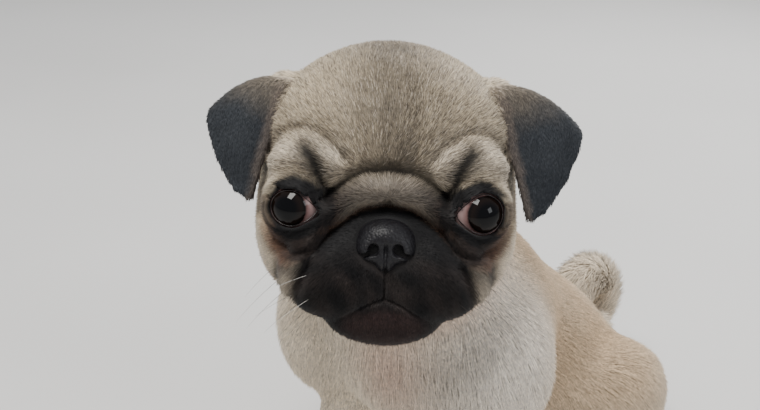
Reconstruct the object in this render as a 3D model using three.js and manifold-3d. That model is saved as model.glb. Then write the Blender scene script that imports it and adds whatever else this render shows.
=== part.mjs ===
// A pug puppy of about ten weeks, sitting with its head turned towards the viewer: a still museum model of
// life size.
// Sizes are in millimetres. +Z is up, the floor is z = 0, the body faces -Y and +X is the puppy's left side.
// The whole body is one field of smoothly joined masses. Each node is that field meshed at its own fineness,
// thinned, and parted from its neighbours by thin cuts.
import * as THREE from "three";
import { mergeVertices } from "three/addons/utils/BufferGeometryUtils.js";
import Module from "manifold-3d";

const wasm = await Module();
wasm.setup();

// Driving sizes
const headWidth = 92;
const eyeLevel = 165;
const eyeSpacing = 57;
const eyeRadius = 8.5;
const gap = 0.3;

// The head's own frame has its origin midway between the eyes, and its face looks along -Y.
const eyeMiddle = new THREE.Vector3(20, -72, eyeLevel);
const headTurn = 38;
const headRaise = 15;
const headTilt = 2;

// Colours, as sRGB hex
const fawn = 0xd8c6a4;
const cream = 0xe6dccb;
const maskBlack = 0x2b2625;
const earBlack = 0x3a3a3a;
const noseBlack = 0x1c1b1d;
const eyeBrown = 0x2a1a12;

const degrees = THREE.MathUtils.degToRad;

const headFrame = new THREE.Matrix4()
  .makeRotationZ(degrees(headTurn))
  .multiply(new THREE.Matrix4().makeRotationX(degrees(-headRaise)))
  .multiply(new THREE.Matrix4().makeRotationY(degrees(headTilt)))
  .setPosition(eyeMiddle);
const headFrameInverse = headFrame.clone().invert();

// The masses of the body. A ball has a centre and three radii, and may be tipped about X by lean degrees.
// A limb runs between two points, with a radius at each. soft is how far a mass melts into those before it.
// Masses with pair set stand on both sides of the body.
const bodyMasses = [
  { at: [0, -10, 85], size: [44, 42, 43], soft: 1 },
  { at: [0, -34, 90], size: [31, 22, 31], soft: 10 },
  { at: [30, -25, 87], size: [23, 27, 32], soft: 12 },
  { at: [-37, -31, 86], size: [23, 27, 34], soft: 12 },
  { from: [0, 0, 93], to: [0, 50, 51], r0: 34, r1: 33, soft: 12 },
  { at: [0, 36, 44], size: [46, 42, 38], soft: 12 },
  { at: [0, 62, 33.5], size: [50, 29, 35], soft: 12 },
  { pair: true, from: [31, -20, 78], to: [28, -38, 26], r0: 19, r1: 12.5, soft: 9 },
  { pair: true, from: [28, -38, 26], to: [28, -44, 12], r0: 12.5, r1: 12.5, soft: 5 },
  { pair: true, at: [47.5, 54, 30], size: [19.5, 36, 28], lean: -6, soft: 14 },
  { pair: true, from: [52, 38, 12], to: [52, 6, 10], r0: 12.5, r1: 11.5, soft: 6 },
];
const neckMass = { from: [-2, -18, 103], to: [-6, -39, 144], r0: 37, r1: 36, soft: 10 };

// A paw is a pad with four toes on an arc, each toe with a claw.
const pawPad = { size: [13.5, 15, 11.5], soft: 4 };
const toe = { count: 4, spread: 6.3, reach: 12.5, sweep: 3.4, size: [4.5, 8.5, 7], soft: 1.6 };
const claw = { length: 4.2, radius: 1.4, sink: 3, droop: 48, raise: 2, facets: 7 };
const paws = {
  forepaw: { at: [28, -47, 9], turn: 4 },
  hindfoot: { at: [52, 2, 9], turn: 12 },
};

// The tail is a curl that rises behind the rump and turns over towards the left hip.
const tailRoot = [0, 80, 29];
const tailCurl = {
  centre: [7, 95, 50], radius: 16.5, start: -118, turn: 375, rise: 16, yaw: 15, root: 12, tip: 9,
};

// The masses of the head, in the head's frame.
const skullMasses = [
  { at: [0, 40, 9], size: [headWidth * 0.484, 45, 42.5], soft: 1 },
  { at: [0, 22, 23], size: [38.5, 27, 24], soft: 10 },
  { pair: true, at: [25, 25, -11], size: [19, 29, 24], soft: 9 },
  { at: [0, 6, -18], size: [29, 19, 21], soft: 7 },
  { at: [0, 16, -27], size: [26, 24, 17], soft: 6 },
  { at: [0, -1, -33.5], size: [19, 11.5, 10.5], soft: 4 },
  { pair: true, at: [14.2, -3, -20.4], size: [18.3, 13.5, 15], soft: 3 },
  { pair: true, at: [24, 4, 13], size: [13, 9, 8], soft: 6 },
  { pair: true, at: [eyeSpacing / 2, 0.4, 0], size: [10.9, 10.9, 10.9], soft: 4 },
  { at: [0, -9, -8.5], size: [9, 8.6, 8.2], soft: 2 },
];

// Folds and furrows of the face, drawn as strokes on its front, x across and z up, for both sides.
// lift is the height of a roll, or below zero the depth of a crease. Each fades to fade of that at its end.
const faceStrokes = [
  {
    name: "nose roll", lift: 3.4, width: 4.2, fade: 0.35,
    points: [[0, 6.6], [9, 5.2], [17, -1], [23, -8.5], [28, -16], [31, -23]],
  },
  {
    name: "crease over the roll", lift: -2.8, width: 1.9, fade: 0.7,
    points: [[0, 12.2], [8, 11.2], [14, 7.8], [19, 3]],
  },
  {
    name: "crease under the roll", lift: -4, width: 2.2, fade: 0.3,
    points: [[0, 0.9], [8, -0.8], [15, -5.5], [20.5, -12], [24.5, -19], [27, -26]],
  },
  {
    name: "lip parting", lift: -1.8, width: 1.3, fade: 1,
    points: [[0, -16], [0, -26]],
  },
  {
    name: "mouth", lift: -2.2, width: 1.5, fade: 0.6,
    points: [[0, -26.3], [5, -28], [10.5, -31.6], [16.4, -35.6], [20, -38]],
  },
  {
    name: "brow", lift: 1.6, width: 4, fade: 0.6,
    points: [[18, 14], [26, 17], [34, 14.5], [39, 9]],
  },
  {
    name: "brow crease", lift: -1.4, width: 1.6, fade: 0.7,
    points: [[13, 15], [17, 19.6], [25, 24], [33, 21.7], [38, 16.5]],
  },
  {
    name: "inner brow", lift: -1.6, width: 2, fade: 0.8,
    points: [[18.5, 3], [19.7, 6.6], [21.3, 12.9], [25, 17.5]],
  },
  {
    name: "under the eye", lift: -1.3, width: 1.5, fade: 0.8,
    points: [[17.5, -5], [21, -10.5], [28, -13.4], [35, -11], [40, -5]],
  },
  {
    name: "forehead middle", lift: -0.8, width: 2.2, fade: 0.5,
    points: [[0, 15], [0, 34]],
  },
  {
    name: "forehead side", lift: -0.8, width: 2, fade: 0.5,
    points: [[7, 15], [9, 25], [8, 35]],
  },
];
const faceDepth = [8, 24];

function smoothMin(a, b, soft) {
  const h = Math.max(soft - Math.abs(a - b), 0) / soft;
  return Math.min(a, b) - (h * h * soft) / 4;
}

const length3 = (x, y, z) => Math.sqrt(x * x + y * y + z * z);

function ballDistance(x, y, z, ball) {
  const dx = x - ball.at[0];
  let dy = y - ball.at[1];
  let dz = z - ball.at[2];
  if (ball.lean) {
    const c = Math.cos(degrees(ball.lean));
    const s = Math.sin(degrees(ball.lean));
    const turned = dy * c + dz * s;
    dz = dz * c - dy * s;
    dy = turned;
  }
  const [a, b, c] = ball.size;
  const near = length3(dx / a, dy / b, dz / c);
  const steep = length3(dx / (a * a), dy / (b * b), dz / (c * c));
  return steep ? (near * (near - 1)) / steep : -Math.min(a, b, c);
}

function limbDistance(x, y, z, limb) {
  const [ax, ay, az] = limb.from;
  const bx = limb.to[0] - ax;
  const by = limb.to[1] - ay;
  const bz = limb.to[2] - az;
  const along = ((x - ax) * bx + (y - ay) * by + (z - az) * bz) / (bx * bx + by * by + bz * bz);
  const t = Math.min(Math.max(along, 0), 1);
  return length3(x - ax - t * bx, y - ay - t * by, z - az - t * bz) - (limb.r0 + t * (limb.r1 - limb.r0));
}

function joinMasses(start, masses, x, y, z) {
  let d = start;
  for (const mass of masses) {
    const side = mass.pair ? Math.abs(x) : x;
    const next = mass.at ? ballDistance(side, y, z, mass) : limbDistance(side, y, z, mass);
    d = smoothMin(d, next, mass.soft);
  }
  return d;
}

// The centres of a paw's toes, in the frame of the puppy's left side.
function toeCentres({ at, turn }) {
  const [c, s] = [Math.cos(degrees(turn)), Math.sin(degrees(turn))];
  return Array.from({ length: toe.count }, (_, i) => {
    const out = i - (toe.count - 1) / 2;
    const [x, y] = [out * toe.spread, toe.sweep * (Math.abs(out) - 0.5) - toe.reach];
    return [at[0] + x * c - y * s, at[1] + x * s + y * c, at[2] - 2];
  });
}

const pawMasses = Object.values(paws).flatMap((paw) => [
  { pair: true, at: paw.at, ...pawPad },
  ...toeCentres(paw).map((at) => ({ pair: true, at, size: toe.size, soft: toe.soft })),
]);

// The tail's middle line: from the root up behind the rump, then round the curl, drifting to the left.
const tailLine = (() => {
  const { centre, radius, start, turn, rise } = tailCurl;
  const [c, s] = [Math.cos(degrees(tailCurl.yaw)), Math.sin(degrees(tailCurl.yaw))];
  const points = [new THREE.Vector3(...tailRoot)];
  const steps = 16;
  for (let i = 0; i <= steps; i++) {
    const share = i / steps;
    const angle = degrees(start + turn * share);
    const r = radius * (1 - 0.42 * share);
    const [out, back] = [rise * (share - 0.5), r * Math.cos(angle)];
    points.push(new THREE.Vector3(
      centre[0] + out * c + back * s,
      centre[1] + back * c - out * s,
      centre[2] + r * Math.sin(angle),
    ));
  }
  return new THREE.CatmullRomCurve3(points, false, "centripetal");
})();
const tailMasses = (() => {
  const steps = 26;
  const points = tailLine.getSpacedPoints(steps).map((p) => p.toArray());
  const thick = (i) => tailCurl.root + (tailCurl.tip - tailCurl.root) * (i / steps) ** 1.3;
  return points.slice(1).map((to, i) => ({ from: points[i], to, r0: thick(i), r1: thick(i + 1), soft: 0.5 }));
})();

// Each stroke becomes short straight lengths along a smooth curve through its points.
const strokeLengths = faceStrokes.map((stroke) => {
  const curve = new THREE.CatmullRomCurve3(stroke.points.map(([x, z]) => new THREE.Vector3(x, 0, z)));
  return { ...stroke, line: curve.getPoints(stroke.points.length * 3) };
});

function strokeLift(x, z) {
  let lift = 0;
  for (const { line, width, fade, lift: full } of strokeLengths) {
    let [nearest, share] = [Infinity, 0];
    for (let i = 1; i < line.length; i++) {
      const [a, b] = [line[i - 1], line[i]];
      const [ux, uz] = [b.x - a.x, b.z - a.z];
      const t = Math.min(Math.max(((x - a.x) * ux + (z - a.z) * uz) / (ux * ux + uz * uz), 0), 1);
      const d = Math.hypot(x - a.x - t * ux, z - a.z - t * uz);
      if (d < nearest) [nearest, share] = [d, (i - 1 + t) / (line.length - 1)];
    }
    lift += full * (1 + (fade - 1) * share) * Math.exp(-((nearest / width) ** 2));
  }
  return lift;
}

function headField(x, y, z) {
  let d = joinMasses(1e3, skullMasses, x, y, z);
  if (Math.abs(d) < 8 && y < faceDepth[1]) {
    d -= strokeLift(Math.abs(x), z) * (1 - THREE.MathUtils.smoothstep(y, ...faceDepth));
  }
  return d;
}

const inHead = new THREE.Vector3();
function puppyField(x, y, z) {
  let d = joinMasses(1e3, bodyMasses, x, y, z);
  if (z < 35) d = joinMasses(d, pawMasses, x, y, z);
  d = smoothMin(d, limbDistance(x, y, z, neckMass), neckMass.soft);
  if (z > 80) {
    inHead.set(x, y, z).applyMatrix4(headFrameInverse);
    d = smoothMin(d, headField(inHead.x, inHead.y, inHead.z), 9);
  }
  return d;
}

// Meshes the zero level of a field inside a box, one vertex to each grid cell that the surface crosses.
function surfaceOf(field, low, high, cell) {
  const [nx, ny, nz] = low.map((v, i) => Math.ceil((high[i] - v) / cell) + 1);
  const values = new Float32Array(nx * ny * nz);
  const at = (i, j, k) => i + nx * (j + ny * k);
  const point = (i, j, k) => [low[0] + i * cell, low[1] + j * cell, low[2] + k * cell];
  const step = 5;
  const reach = step * cell * 1.5;
  for (let k0 = 0; k0 < nz; k0 += step)
    for (let j0 = 0; j0 < ny; j0 += step)
      for (let i0 = 0; i0 < nx; i0 += step) {
        const half = (step - 1) / 2;
        const middle = field(...point(i0 + half, j0 + half, k0 + half));
        for (let k = k0; k < Math.min(k0 + step, nz); k++)
          for (let j = j0; j < Math.min(j0 + step, ny); j++)
            for (let i = i0; i < Math.min(i0 + step, nx); i++) {
              const d = Math.abs(middle) > reach ? middle : field(...point(i, j, k));
              const edge = i === 0 || j === 0 || k === 0 || i === nx - 1 || j === ny - 1 || k === nz - 1;
              values[at(i, j, k)] = edge ? Math.max(d, 0.5 * cell) : d;
            }
      }
  const corners = [0, 1, 2, 3, 4, 5, 6, 7].map((n) => [n & 1, (n >> 1) & 1, n >> 2]);
  const edges = corners.flatMap((_, a) => [1, 2, 4].filter((bit) => !(a & bit)).map((bit) => [a, a | bit]));
  const vertexAt = new Int32Array(values.length).fill(-1);
  const vertices = [];
  for (let k = 0; k < nz - 1; k++)
    for (let j = 0; j < ny - 1; j++)
      for (let i = 0; i < nx - 1; i++) {
        const v = corners.map(([a, b, c]) => values[at(i + a, j + b, k + c)]);
        const inside = v.filter((d) => d < 0).length;
        if (inside === 0 || inside === 8) continue;
        const sum = [0, 0, 0];
        let crossings = 0;
        for (const [a, b] of edges) {
          if (v[a] < 0 === v[b] < 0) continue;
          const t = v[a] / (v[a] - v[b]);
          for (let n = 0; n < 3; n++) sum[n] += corners[a][n] + t * (corners[b][n] - corners[a][n]);
          crossings++;
        }
        const start = point(i, j, k);
        vertexAt[at(i, j, k)] = vertices.length;
        vertices.push(sum.map((s, n) => start[n] + (s / crossings) * cell));
      }
  const triangles = [];
  const steps = [[1, 0, 0], [0, 1, 0], [0, 0, 1]];
  for (let k = 0; k < nz - 1; k++)
    for (let j = 0; j < ny - 1; j++)
      for (let i = 0; i < nx - 1; i++)
        steps.forEach(([a, b, c], axis) => {
          if ([i, j, k].some((n, other) => other !== axis && n === 0)) return;
          const [here, there] = [values[at(i, j, k)], values[at(i + a, j + b, k + c)]];
          if (here < 0 === there < 0) return;
          const [u, w] = [steps[(axis + 1) % 3], steps[(axis + 2) % 3]];
          const ring = [[0, 0], [1, 0], [1, 1], [0, 1]].map(([p, q]) =>
            vertexAt[at(i - p * u[0] - q * w[0], j - p * u[1] - q * w[1], k - p * u[2] - q * w[2])]);
          const [p, q, r, s] = here < 0 ? ring : ring.reverse();
          triangles.push([p, q, r], [p, r, s]);
        });
  return { vertices, triangles };
}

// Collapses the edges that change the surface least, until wanted triangles are left or the next collapse
// would change it by more than worst. care(point) weighs an error by where it is, so that a face keeps more
// of its triangles than a flank.
function thin({ vertices, triangles }, wanted, care = () => 1, worst = Infinity) {
  const points = vertices.map((v) => v.slice());
  const faces = triangles.map((t) => t.slice());
  const around = points.map(() => new Set());
  faces.forEach((face, f) => face.forEach((v) => around[v].add(f)));
  const normalOf = ([a, b, c], moved = -1, to = null) => {
    const [p, q, r] = [a, b, c].map((v) => (v === moved ? to : points[v]));
    const [ux, uy, uz] = [q[0] - p[0], q[1] - p[1], q[2] - p[2]];
    const [wx, wy, wz] = [r[0] - p[0], r[1] - p[1], r[2] - p[2]];
    return [uy * wz - uz * wy, uz * wx - ux * wz, ux * wy - uy * wx];
  };
  const quadrics = points.map(() => new Float64Array(10));
  for (const face of faces) {
    const normal = normalOf(face);
    const size = Math.hypot(...normal) || 1;
    const [a, b, c] = normal.map((n) => n / size);
    const p = points[face[0]];
    const d = -(a * p[0] + b * p[1] + c * p[2]);
    const w = size * care(p);
    const q = [a * a, a * b, a * c, a * d, b * b, b * c, b * d, c * c, c * d, d * d];
    for (const v of face) q.forEach((value, n) => (quadrics[v][n] += value * w));
  }
  const errorAt = (q, [x, y, z]) =>
    q[0] * x * x + 2 * q[1] * x * y + 2 * q[2] * x * z + 2 * q[3] * x + q[4] * y * y +
    2 * q[5] * y * z + 2 * q[6] * y + q[7] * z * z + 2 * q[8] * z + q[9];
  const bestPoint = (u, v) => {
    const q = quadrics[u].map((value, n) => value + quadrics[v][n]);
    const middle = points[u].map((value, n) => (value + points[v][n]) / 2);
    const choices = [points[u], points[v], middle];
    const matrix = new THREE.Matrix3().set(q[0], q[1], q[2], q[1], q[4], q[5], q[2], q[5], q[7]);
    const scale = q[0] + q[4] + q[7];
    if (Math.abs(matrix.determinant()) > 1e-4 * scale ** 3) {
      const solve = matrix.invert();
      const best = new THREE.Vector3(-q[3], -q[6], -q[8]).applyMatrix3(solve).toArray();
      const length = Math.hypot(...points[u].map((value, n) => value - points[v][n]));
      if (Math.hypot(...best.map((value, n) => value - middle[n])) < 1.5 * length) choices.push(best);
    }
    const errors = choices.map((p) => errorAt(q, p));
    const pick = errors.indexOf(Math.min(...errors));
    const length = Math.hypot(...points[u].map((value, n) => value - points[v][n]));
    return { cost: errors[pick] + 1e-5 * length ** 4, to: choices[pick].slice() };
  };
  const heap = [];
  const swap = (i, j) => ([heap[i], heap[j]] = [heap[j], heap[i]]);
  const push = (item) => {
    let i = heap.push(item) - 1;
    while (i && heap[(i - 1) >> 1].cost > heap[i].cost) {
      swap(i, (i - 1) >> 1);
      i = (i - 1) >> 1;
    }
  };
  const pop = () => {
    swap(0, heap.length - 1);
    const item = heap.pop();
    for (let i = 0; ; ) {
      let least = i;
      for (const child of [2 * i + 1, 2 * i + 2])
        if (child < heap.length && heap[child].cost < heap[least].cost) least = child;
      if (least === i) return item;
      swap(i, least);
      i = least;
    }
  };
  const age = new Int32Array(points.length);
  const neighbours = (v) => new Set([...around[v]].flatMap((f) => faces[f]).filter((n) => n !== v));
  const offer = (u, v) => push({ u, v, ages: [age[u], age[v]], ...bestPoint(u, v) });
  points.forEach((_, u) => neighbours(u).forEach((v) => u < v && offer(u, v)));
  let left = faces.length;
  while (left > wanted && heap.length) {
    const { u, v, ages, to, cost } = pop();
    if (cost > worst) break;
    if (ages[0] !== age[u] || ages[1] !== age[v]) continue;
    const [nearU, nearV] = [neighbours(u), neighbours(v)];
    if ([...nearU].filter((n) => nearV.has(n)).length !== 2) continue;
    const shared = [...around[u]].filter((f) => around[v].has(f));
    if (shared.length !== 2) continue;
    const kept = [...around[u], ...around[v]].filter((f) => !shared.includes(f));
    const flips = kept.some((f) => {
      const moved = faces[f].includes(u) ? u : v;
      const [before, after] = [normalOf(faces[f]), normalOf(faces[f], moved, to)];
      const dot = before[0] * after[0] + before[1] * after[1] + before[2] * after[2];
      return dot < 0.25 * Math.hypot(...before) * Math.hypot(...after);
    });
    if (flips) continue;
    for (const f of shared) {
      faces[f].forEach((n) => around[n].delete(f));
      faces[f] = null;
    }
    for (const f of around[v]) {
      faces[f] = faces[f].map((n) => (n === v ? u : n));
      around[u].add(f);
    }
    around[v].clear();
    points[u] = to;
    quadrics[v].forEach((value, n) => (quadrics[u][n] += value));
    age[u]++;
    age[v]++;
    left -= shared.length;
    neighbours(u).forEach((n) => offer(u, n));
  }
  const used = new Map();
  const renamed = faces.filter(Boolean).map((face) => face.map((v) => {
    if (!used.has(v)) used.set(v, used.size);
    return used.get(v);
  }));
  return { vertices: [...used.keys()].map((v) => points[v]), triangles: renamed };
}

function solidOf({ vertices, triangles }) {
  const mesh = new wasm.Mesh({
    numProp: 3,
    vertProperties: new Float32Array(vertices.flat()),
    triVerts: new Uint32Array(triangles.flat()),
  });
  return new wasm.Manifold(mesh);
}

// A three.js geometry, moved by a matrix, as a solid.
function solidFrom(geometry, matrix = new THREE.Matrix4()) {
  const bare = geometry.index ? geometry.toNonIndexed() : geometry.clone();
  const placed = new THREE.BufferGeometry()
    .setAttribute("position", bare.getAttribute("position"))
    .applyMatrix4(matrix);
  const merged = mergeVertices(placed, 1e-3);
  const { array } = merged.getAttribute("position");
  const triVerts = new Uint32Array(merged.index.array);
  const kept = [];
  for (let i = 0; i < triVerts.length; i += 3) {
    const [a, b, c] = triVerts.subarray(i, i + 3);
    if (a !== b && b !== c && c !== a) kept.push(a, b, c);
  }
  const mesh = new wasm.Mesh({ numProp: 3, vertProperties: array, triVerts: new Uint32Array(kept) });
  return new wasm.Manifold(mesh);
}

function geometryOf(solid) {
  const { numProp, numVert, vertProperties, triVerts } = solid.getMesh();
  const positions = new Float32Array(numVert * 3);
  for (let i = 0; i < numVert; i++) {
    positions.set(vertProperties.subarray(i * numProp, i * numProp + 3), i * 3);
  }
  const geometry = new THREE.BufferGeometry()
    .setAttribute("position", new THREE.BufferAttribute(positions, 3))
    .setIndex(new THREE.BufferAttribute(triVerts, 1));
  geometry.computeVertexNormals();
  return geometry;
}

// The same solid without the slivers that cuts leave. Corners nearer than touch are drawn apart, by apart
// of the way to the middle of their neighbours.
const sliver = 0.004;
const touch = 0.004;
const apart = 0.05;
function cleaned(solid) {
  const { numProp, numVert, vertProperties, triVerts } = solid.getMesh();
  const corner = (i) => [...vertProperties.subarray(i * numProp, i * numProp + 3)];
  const face = (i) => [...triVerts.subarray(3 * i, 3 * i + 3)];
  const vertices = Array.from({ length: numVert }, (_, i) => corner(i));
  const triangles = Array.from({ length: triVerts.length / 3 }, (_, i) => face(i));
  const tidy = thin({ vertices, triangles }, 0, () => 1, sliver);
  const seen = new Map();
  const touching = new Set();
  tidy.vertices.forEach((point, v) => {
    const key = point.map((value) => Math.round(value / touch)).join();
    if (seen.has(key)) touching.add(v).add(seen.get(key));
    seen.set(key, v);
  });
  for (const v of touching) {
    const near = tidy.triangles.filter((corners) => corners.includes(v)).flat().filter((n) => n !== v);
    const mean = (i) => near.reduce((sum, n) => sum + tidy.vertices[n][i], 0) / near.length;
    tidy.vertices[v] = tidy.vertices[v].map((value, i) => value + apart * (mean(i) - value));
  }
  return solidOf(tidy);
}

// The same solid with every corner moved outwards along its normal.
function thickened(solid, by) {
  const geometry = geometryOf(solid);
  const [position, normal] = [geometry.getAttribute("position"), geometry.getAttribute("normal")];
  const corner = new THREE.Vector3();
  const out = new THREE.Vector3();
  for (let i = 0; i < position.count; i++) {
    corner.fromBufferAttribute(position, i).addScaledVector(out.fromBufferAttribute(normal, i), by);
    position.setXYZ(i, ...corner);
  }
  return solidFrom(geometry);
}

const largestBody = (solid) => solid.decompose().reduce((a, b) => (b.volume() > a.volume() ? b : a));

// Cutting blocks. A half space is a large box on the side of a plane that its normal points to, moved along
// it by shift.
const far = 400;
function halfSpace({ point, normal }, side, shift = gap / 2) {
  const n = new THREE.Vector3(...normal).normalize().multiplyScalar(side);
  const turn = new THREE.Quaternion().setFromUnitVectors(new THREE.Vector3(0, 0, 1), n);
  const centre = new THREE.Vector3(...point).addScaledVector(n, far / 2 + shift);
  const matrix = new THREE.Matrix4().compose(centre, turn, new THREE.Vector3(1, 1, 1));
  return solidFrom(new THREE.BoxGeometry(far, far, far), matrix);
}
function block(low, high, grow = 0) {
  const size = high.map((v, i) => v - low[i] + 2 * grow);
  const centre = high.map((v, i) => (v + low[i]) / 2);
  return solidFrom(new THREE.BoxGeometry(...size), new THREE.Matrix4().setPosition(...centre));
}
function ellipsoid(at, size, grow = 0, matrix = new THREE.Matrix4(), fineness = 24) {
  const shape = new THREE.SphereGeometry(1, fineness, Math.round(fineness * 0.6));
  const local = new THREE.Matrix4()
    .makeTranslation(...at)
    .multiply(new THREE.Matrix4().makeScale(...size.map((s) => s + grow)));
  return solidFrom(shape, matrix.clone().multiply(local));
}

// Where the thin cuts run. A plane is a point and a normal, in the body's frame unless taken from the head's.
function planeInHead(point, normal) {
  return {
    point: new THREE.Vector3(...point).applyMatrix4(headFrame).toArray(),
    normal: new THREE.Vector3(...normal).transformDirection(headFrame).toArray(),
  };
}
const throat = planeInHead([0, 23, -42], [0, -0.628, 0.779]);
const collar = { point: [0, -14, 110], normal: [-0.05, -0.32, 0.95] };
const loin = { point: [0, 30, 56], normal: [0, 0.96, -0.28] };
const wristHeight = 21;
const elbow = { left: [10, 60], right: [50, 78] };
const foreleg = { inner: 8, outer: 80, front: -90, back: -8 };
const thigh = { at: [50, 60, 32], size: [26, 43, 37] };
const hindfoot = { inner: 34, outer: 90, front: -25, back: 27, top: 27 };
const shank = { inner: 34, outer: 90, front: 27, back: 84, top: 17 };
const tailSplit = 7;

const aboveFloor = block([-far, -far, 0], [far, far, far]);

// Meshes, thins and cuts one node's share of the puppy.
function flesh({ low, high, cell, triangles, keep = [], cut = [], care }) {
  let solid = solidOf(thin(surfaceOf(puppyField, low, high, cell), triangles, care)).intersect(aboveFloor);
  for (const cutter of keep) solid = solid.intersect(cutter);
  for (const cutter of cut) solid = solid.subtract(cutter);
  return largestBody(solid);
}

// The upper edge of the lower jaw is the line of the mouth, carried on outwards under the cheeks.
function jawPrism(grow) {
  const mouth = faceStrokes.find((stroke) => stroke.name === "mouth").points;
  const line = [...mouth, [34, -46], [60, -60]].map(([x, z]) => [x, z + grow]);
  const right = line.slice(1).reverse().map(([x, z]) => [-x, z]);
  const outline = [...right, ...line, [60, -90], [-60, -90]];
  const shape = new THREE.Shape(outline.map(([x, z]) => new THREE.Vector2(x, z)));
  const prism = new THREE.ExtrudeGeometry(shape, { depth: 90, bevelEnabled: false });
  const upright = new THREE.Matrix4().makeRotationX(degrees(90)).setPosition(0, 50, 0);
  return solidFrom(prism, headFrame.clone().multiply(upright));
}

// The nose leather stands in an upright oval, narrower below, that is parted from the muzzle behind it.
const noseOval = { at: [0, -9], half: [8.3, 8], back: -9, front: -40, facets: 28 };
function noseBlock(grow) {
  const { at, half, back, front, facets } = noseOval;
  const outline = Array.from({ length: facets }, (_, i) => {
    const angle = (2 * Math.PI * i) / facets;
    const narrow = 1 - 0.3 * Math.max(0, -Math.sin(angle)) ** 1.5;
    return new THREE.Vector2(
      at[0] + (half[0] * narrow + grow) * Math.cos(angle),
      at[1] + (half[1] + grow) * Math.sin(angle),
    );
  });
  const depth = back - front;
  const prism = new THREE.ExtrudeGeometry(new THREE.Shape(outline), { depth, bevelEnabled: false });
  const upright = new THREE.Matrix4().makeRotationX(degrees(90)).setPosition(0, back + grow, 0);
  return solidFrom(prism, headFrame.clone().multiply(upright));
}

// A nostril is a round pit with a slit that runs out and down from it.
const nostril = {
  at: [3.9, -17.6, -9],
  size: [1.9, 4.2, 2.2],
  slitAt: [5.9, -16.6, -11.6],
  slitSize: [2.6, 4, 0.9],
  slitTurn: 38,
  fineness: 10,
};
function nostrils() {
  return [1, -1].flatMap((side) => {
    const [x, y, z] = nostril.slitAt;
    const slit = headFrame.clone()
      .multiply(new THREE.Matrix4().makeTranslation(side * x, y, z))
      .multiply(new THREE.Matrix4().makeRotationY(degrees(side * nostril.slitTurn)));
    const pit = [side * nostril.at[0], nostril.at[1], nostril.at[2]];
    return [
      ellipsoid(pit, nostril.size, 0, headFrame, nostril.fineness),
      ellipsoid([0, 0, 0], nostril.slitSize, 0, slit, nostril.fineness),
    ];
  });
}

// An eye, in a socket whose lids leave a nearly round opening. The eyes look a little outwards.
const eyeOutward = 12;
const lidOpening = { half: [7.3, 6.7], flare: 1.22, depth: 16, facets: 22 };
function eyeFrame(side) {
  return headFrame.clone()
    .multiply(new THREE.Matrix4().makeTranslation((side * eyeSpacing) / 2, 0, 0))
    .multiply(new THREE.Matrix4().makeRotationZ(degrees(side * eyeOutward)));
}
const eyeShape = (radius) => new THREE.IcosahedronGeometry(radius, 3);
function eyeSocket(side) {
  const { half, flare, depth, facets } = lidOpening;
  const funnel = new THREE.CylinderGeometry(1, flare, depth, facets);
  const forward = eyeFrame(side)
    .multiply(new THREE.Matrix4().makeTranslation(0, -depth / 2, 0))
    .multiply(new THREE.Matrix4().makeScale(half[0], 1, half[1]));
  return solidFrom(eyeShape(eyeRadius + gap), eyeFrame(side)).add(solidFrom(funnel, forward));
}

// An ear is a folded leaf. Its root lies along the side of the skull, its back layer rises outwards to the
// fold, and the flap hangs from the fold to the tip, leaving the ear's cup between them.
const ear = {
  root: [[31, 22, 34], [38, 36, 31], [41, 50, 19]],
  fold: [[34.5, 18, 36.5], [48, 26, 34], [61, 33, 24]],
  tip: [47.5, 13, -2],
  tipSpread: [2.2, 1.2, 1],
  flapBow: [2.2, 0.5, -1],
  flapSwell: [1, -3.5, 0.5],
  thickRoot: 4.2,
  thickTip: 2,
  shift: {
    left: { fold: [2.5, 0, 0], tip: [1.5, 0, 0] },
    right: { fold: [-1.2, 0, 2], tip: [-0.5, 0, 4] },
  },
  steps: [14, 8],
  base: { at: [36.5, 36, 29.5], size: [7.5, 18, 8.5], turn: [0.28, 0.42] },
};
function alongThree([a, b, c], t) {
  const middle = b.map((v, i) => 2 * v - (a[i] + c[i]) / 2);
  return a.map((v, i) => (1 - t) ** 2 * v + 2 * t * (1 - t) * middle[i] + t * t * c[i]);
}
function earLine(v, side) {
  const shift = side > 0 ? ear.shift.left : ear.shift.right;
  const root = alongThree(ear.root, v);
  const fold = alongThree(ear.fold, v).map((value, i) => value + v * shift.fold[i]);
  const tip = ear.tip.map((value, i) => value + (v - 0.5) * 2 * ear.tipSpread[i] + shift.tip[i]);
  const swell = Math.sin(Math.PI * Math.min(Math.max(v, 0.08), 0.92));
  const middle = fold.map((value, i) => (value + tip[i]) / 2 + v * ear.flapBow[i] + swell * ear.flapSwell[i]);
  const points = [root, fold, middle, tip].map((p) => new THREE.Vector3(...p));
  return new THREE.CatmullRomCurve3(points, false, "centripetal");
}
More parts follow.
